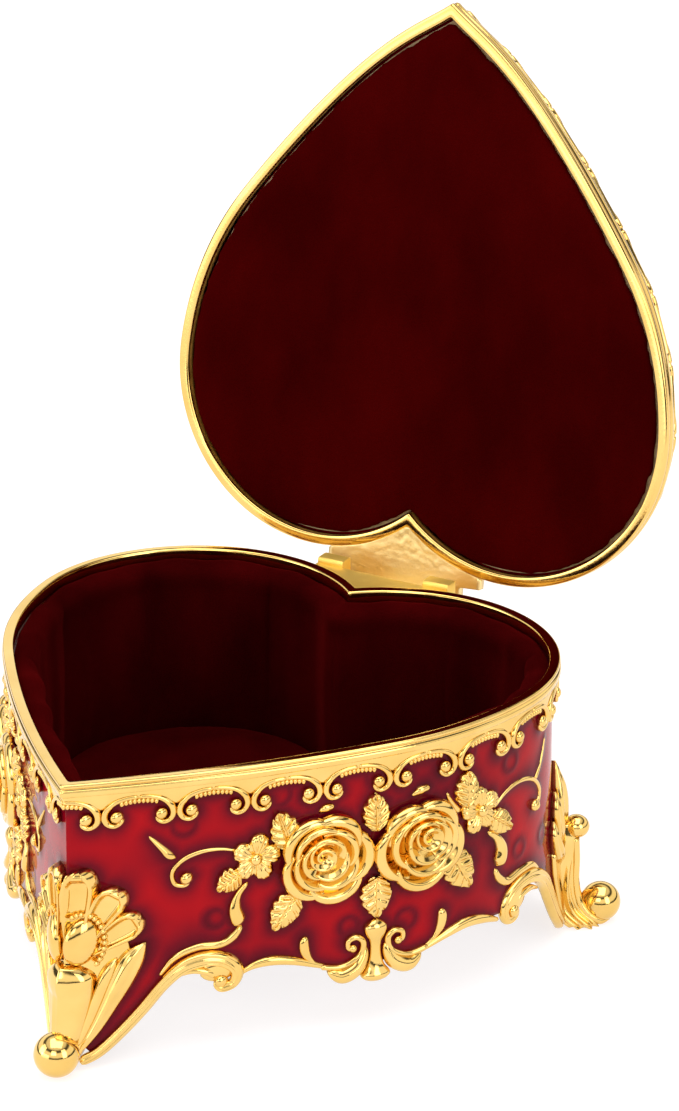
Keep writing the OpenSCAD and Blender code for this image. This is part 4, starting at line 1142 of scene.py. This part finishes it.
def inflate(obj, cap, voxel):
    """Remeshes a closed pad, fills it out by cloth simulation, and caps each point's move."""
    bpy.context.view_layer.objects.active = obj
    for other in bpy.context.selected_objects:
        other.select_set(False)
    obj.select_set(True)
    remesh = obj.modifiers.new("remesh", "REMESH")
    remesh.mode, remesh.voxel_size, remesh.use_smooth_shade = "VOXEL", voxel, True
    bpy.ops.object.modifier_apply(modifier="remesh")
    before = np.array([v.co[:] for v in obj.data.vertices])
    cloth = obj.modifiers.new("cloth", "CLOTH")
    cloth.settings.quality = 5
    cloth.settings.use_pressure = True
    cloth.settings.uniform_pressure_force = PRESSURE
    cloth.settings.effector_weights.gravity = 0
    scene = bpy.context.scene
    for number in range(1, 21):
        scene.frame_set(number)
    bpy.ops.object.modifier_apply(modifier="cloth")
    scene.frame_set(1)
    after = np.array([v.co[:] for v in obj.data.vertices])
    move = after - before
    size = np.linalg.norm(move, axis=1, keepdims=True)
    after = before + move * np.minimum(1, cap / np.maximum(size, 1e-9))
    obj.data.vertices.foreach_set("co", after.reshape(-1))


def cad_copy(node, name):
    """A new object with its own copy of a CAD node's mesh."""
    obj = add_object(name, frame["nodes"][node].data.copy())
    obj.data.materials.clear()
    return obj


def subdivide(obj):
    divide = obj.modifiers.new("divide", "SUBSURF")
    divide.levels = divide.render_levels = 1


def finish_pad(obj, material, body, node):
    obj.data.materials.append(material)
    soften = obj.modifiers.new("soften", "SMOOTH")
    soften.factor, soften.iterations = 0.5, 10
    subdivide(obj)
    obj.data.shade_smooth()
    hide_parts(node)
    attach(obj, body)
    return obj


def lid_pad():
    """The velvet heart in the lid: a low crown, a tucked edge and a crease at the cleft."""
    s = round_path(420)
    rings = []
    for inset, z in ((2.5, 1.9), (2.25, 1.2), (2.35, 0.55), (3.0, 0.12)):
        rings.append(level(*lid_outline(s, inset), LID_Z + z))
    x, y = lid_outline(s, 3.0)
    for f in np.linspace(0.97, 0.02, 36):
        px, py = toward_crown(x, y, f)
        crown = 1.1 * (1 - f ** 5)
        nap = np.array([ripple(a / 14, b / 14, 7) for a, b in zip(px, py)])
        rings.append(level(px, py, LID_Z + 0.1 - crown * 0.35 + 0.22 * nap * (1 - f ** 6)))
    shape = Shape()
    shape.loft(lid_open(np.array(rings[::-1])))
    name = "lid_pad_velvet"
    obj = add_object(name, mesh_data(name, np.concatenate(shape.points), shape.faces))
    inflate(obj, 0.0006, 0.0010)
    return finish_pad(obj, VELVET_LID, "lid", "lid_pad")


def lid_board():
    """The card board behind the lid's velvet."""
    rings = []
    for inset, z, shares in ((2.7, 2.05, (0.2, 0.6, 1)), (2.55, 2.2, (1,)), (2.55, 3.2, (1,)),
                             (2.7, 3.35, (1, 0.6, 0.2))):
        x, y = lid_outline(round_path(420), inset)
        rings += [level(*toward_crown(x, y, f), LID_Z + z) for f in shares]
    shape = Shape()
    shape.loft(lid_open(np.array(rings)))
    return shape.piece("lid_board_card", CARD, "lid", ["lid_pad_board"])


def floor_and_step():
    """The padded floor and the padded cover of the step over the movement."""
    for node, name, voxel in (("floor_pad", "floor_velvet", 0.0013),
                              ("movement_cover", "step_velvet", 0.0010)):
        obj = cad_copy(node, name)
        inflate(obj, 0.0008, voxel)
        finish_pad(obj, VELVET, "base", node)


SEAMS = [-176, -150, -122, -96, -64, -30, 0, 30, 64, 96, 122, 150, 176]


def wall_lining():
    """Padded velvet boards round the inside: full between seams, with a rolled top edge."""
    s = round_path(760)
    seams = np.array(SEAMS)
    right = seams[np.clip(np.searchsorted(seams, s), 1, len(seams) - 1)]
    left = seams[np.clip(np.searchsorted(seams, s) - 1, 0, len(seams) - 2)]
    share = np.clip((s - left) / (right - left), 0, 1)
    full = 1 - np.abs(2 * share - 1) ** 6
    fold = np.array([ripple(a / 7.0, 0, 4) for a in s])
    rows = [
        (2.7, 18.0), (2.6, 55.4), (2.75, 56.4), (3.3, 57.0), (4.3, 57.2), (5.6, 56.9), (6.7, 56.1),
        (7.3, 54.8), (7.2, 53.0), (7.0, 51.6), (7.3, 48.0), (7.6, 43.0), (7.6, 37.0), (7.4, 30.0),
        (7.0, 24.0), (6.6, 18.0),
    ]
    rings = []
    for inset, z in rows:
        shift = 0 * s
        if inset > 5:
            depth = np.interp(z, [18, 30, 48, 54, 57], [0.3, 1.0, 0.9, 0.7, 0.5])
            slow = np.array([ripple(a / 11.0, z / 16.0, 9) for a in s])
            shift = (full - 0.75) * depth * 1.5 + 0.7 * depth * fold + 0.6 * depth * slow
        rings.append(level(*outline(s, inset + shift - 0.1), z + 0.5 * fold * (z > 54.5)))
    shape = Shape()
    shape.loft(np.swapaxes(np.array(rings), 0, 1), wrap=True)
    obj = shape.piece("lining_velvet", VELVET, "base", ["wall_lining"])
    subdivide(obj)
    return obj


# ---- CAD nodes that stay ----
def finish_cad():
    """Gives every CAD node the material of its slot."""
    slots = {part["node"]: part["material_slot"] for part in frame["record"]["subparts"]}
    for name, obj in frame["nodes"].items():
        obj.data.materials.clear()
        obj.data.materials.append(BY_SLOT[slots[name]])


# ---- Studio ----
FLOOR_GLOW = 0.74


def studio_floor():
    """A pale floor that glows a little, so that the shadow under the box stays light."""
    bpy.ops.mesh.primitive_plane_add(size=16)
    floor = bpy.context.object
    floor.name = "floor"
    mat, nodes, links, shader = new_material(
        "floor", Roughness=0.9, Specular_IOR_Level=0.0, Emission_Strength=FLOOR_GLOW)
    for scale, detail, low, high, socket in (
            (3, 2, (0.35, 0.34, 0.34), (0.37, 0.36, 0.36), "Base Color"),
            (2, 1, (1.0, 0.965, 0.965), (1.0, 0.975, 0.975), "Emission Color")):
        drift = noise_node(nodes, links, scale, detail)
        tone = ramp(nodes, links, drift, [(0.3, low), (0.7, high)])
        links.new(tone, shader.inputs[socket])
    floor.data.materials.append(mat)


def studio_world():
    """Soft light by height: dark at the horizon, a bright band, a dark one, pale overhead."""
    world = bpy.data.worlds.new("studio")
    bpy.context.scene.world = world
    world.use_nodes = True
    nodes, links = world.node_tree.nodes, world.node_tree.links
    place = nodes.new("ShaderNodeTexCoord")
    split = nodes.new("ShaderNodeSeparateXYZ")
    links.new(place.outputs["Generated"], split.inputs["Vector"])
    colour = ramp(nodes, links, split.outputs["Z"], [
        (0.0, (0.04, 0.04, 0.04)), (0.1, (0.06, 0.06, 0.06)), (0.17, (1.2, 1.19, 1.17)),
        (0.5, (1.25, 1.24, 1.22)), (0.57, (0.08, 0.08, 0.08)), (0.68, (0.1, 0.1, 0.1)),
        (0.76, (0.95, 0.95, 0.95))])
    links.new(colour, nodes["Background"].inputs["Color"])
    nodes["Background"].inputs["Strength"].default_value = 1.0


def place_facing(obj, place, direction):
    """Puts a light or camera at place, looking in a direction."""
    obj.location = place
    obj.rotation_mode = "QUATERNION"
    obj.rotation_quaternion = direction.to_track_quat("-Z", "Y")


def softboxes():
    middle = (0, 0, 0.05)
    for name, place, aim, width, height, power in (
            ("top_box", (0.05, -0.1, 1.1), middle, 1.1, 1.1, 8),
            ("left_box", (-1.0, -0.75, 0.55), middle, 0.7, 0.9, 4),
            ("right_box", (1.15, -0.35, 0.5), middle, 0.5, 0.9, 3.5),
            ("front_box", (0.35, -1.25, 0.75), middle, 0.6, 0.5, 2.5),
            ("lid_panel", (-0.75, -1.4, 0.12), (0, 0, 0.12), 1.3, 0.7, 5)):
        light = bpy.data.lights.new(name, "AREA")
        light.shape, light.size, light.size_y, light.energy = "RECTANGLE", width, height, power
        place_facing(add_object(name, light), place, Vector(aim) - Vector(place))


def camera():
    """The photograph's view: 30.3 degrees round to the right, 23.3 above the horizon."""
    azimuth, elevation, distance = math.radians(30.34), math.radians(23.25), 1.2127
    target = Vector((0, 0.010, 0.0588))
    flat = math.cos(elevation)
    back = Vector((math.sin(azimuth) * flat, -math.cos(azimuth) * flat, math.sin(elevation)))
    data = bpy.data.cameras.new("camera")
    data.sensor_width, data.lens = 36, 200.4
    data.shift_x, data.shift_y = 0.0453, 0.0691
    data.clip_start, data.clip_end = 0.01, 50
    obj = add_object("camera", data)
    place_facing(obj, target + back * distance, -back)
    bpy.context.scene.camera = obj


camera()
studio_floor()
studio_world()
softboxes()
finish_cad()
rim()
rim_border()
rose_sprays()
lobe_spray()
apron()
front_foot()
side_foot(1, "right")
side_foot(-1, "left")
enamel_wall()
lid_frame()
lid_shell()
lid_ornament()
hinge()
lid_pad()
lid_board()
floor_and_step()
wall_lining()

bpy.context.scene.view_settings.view_transform = "Standard"
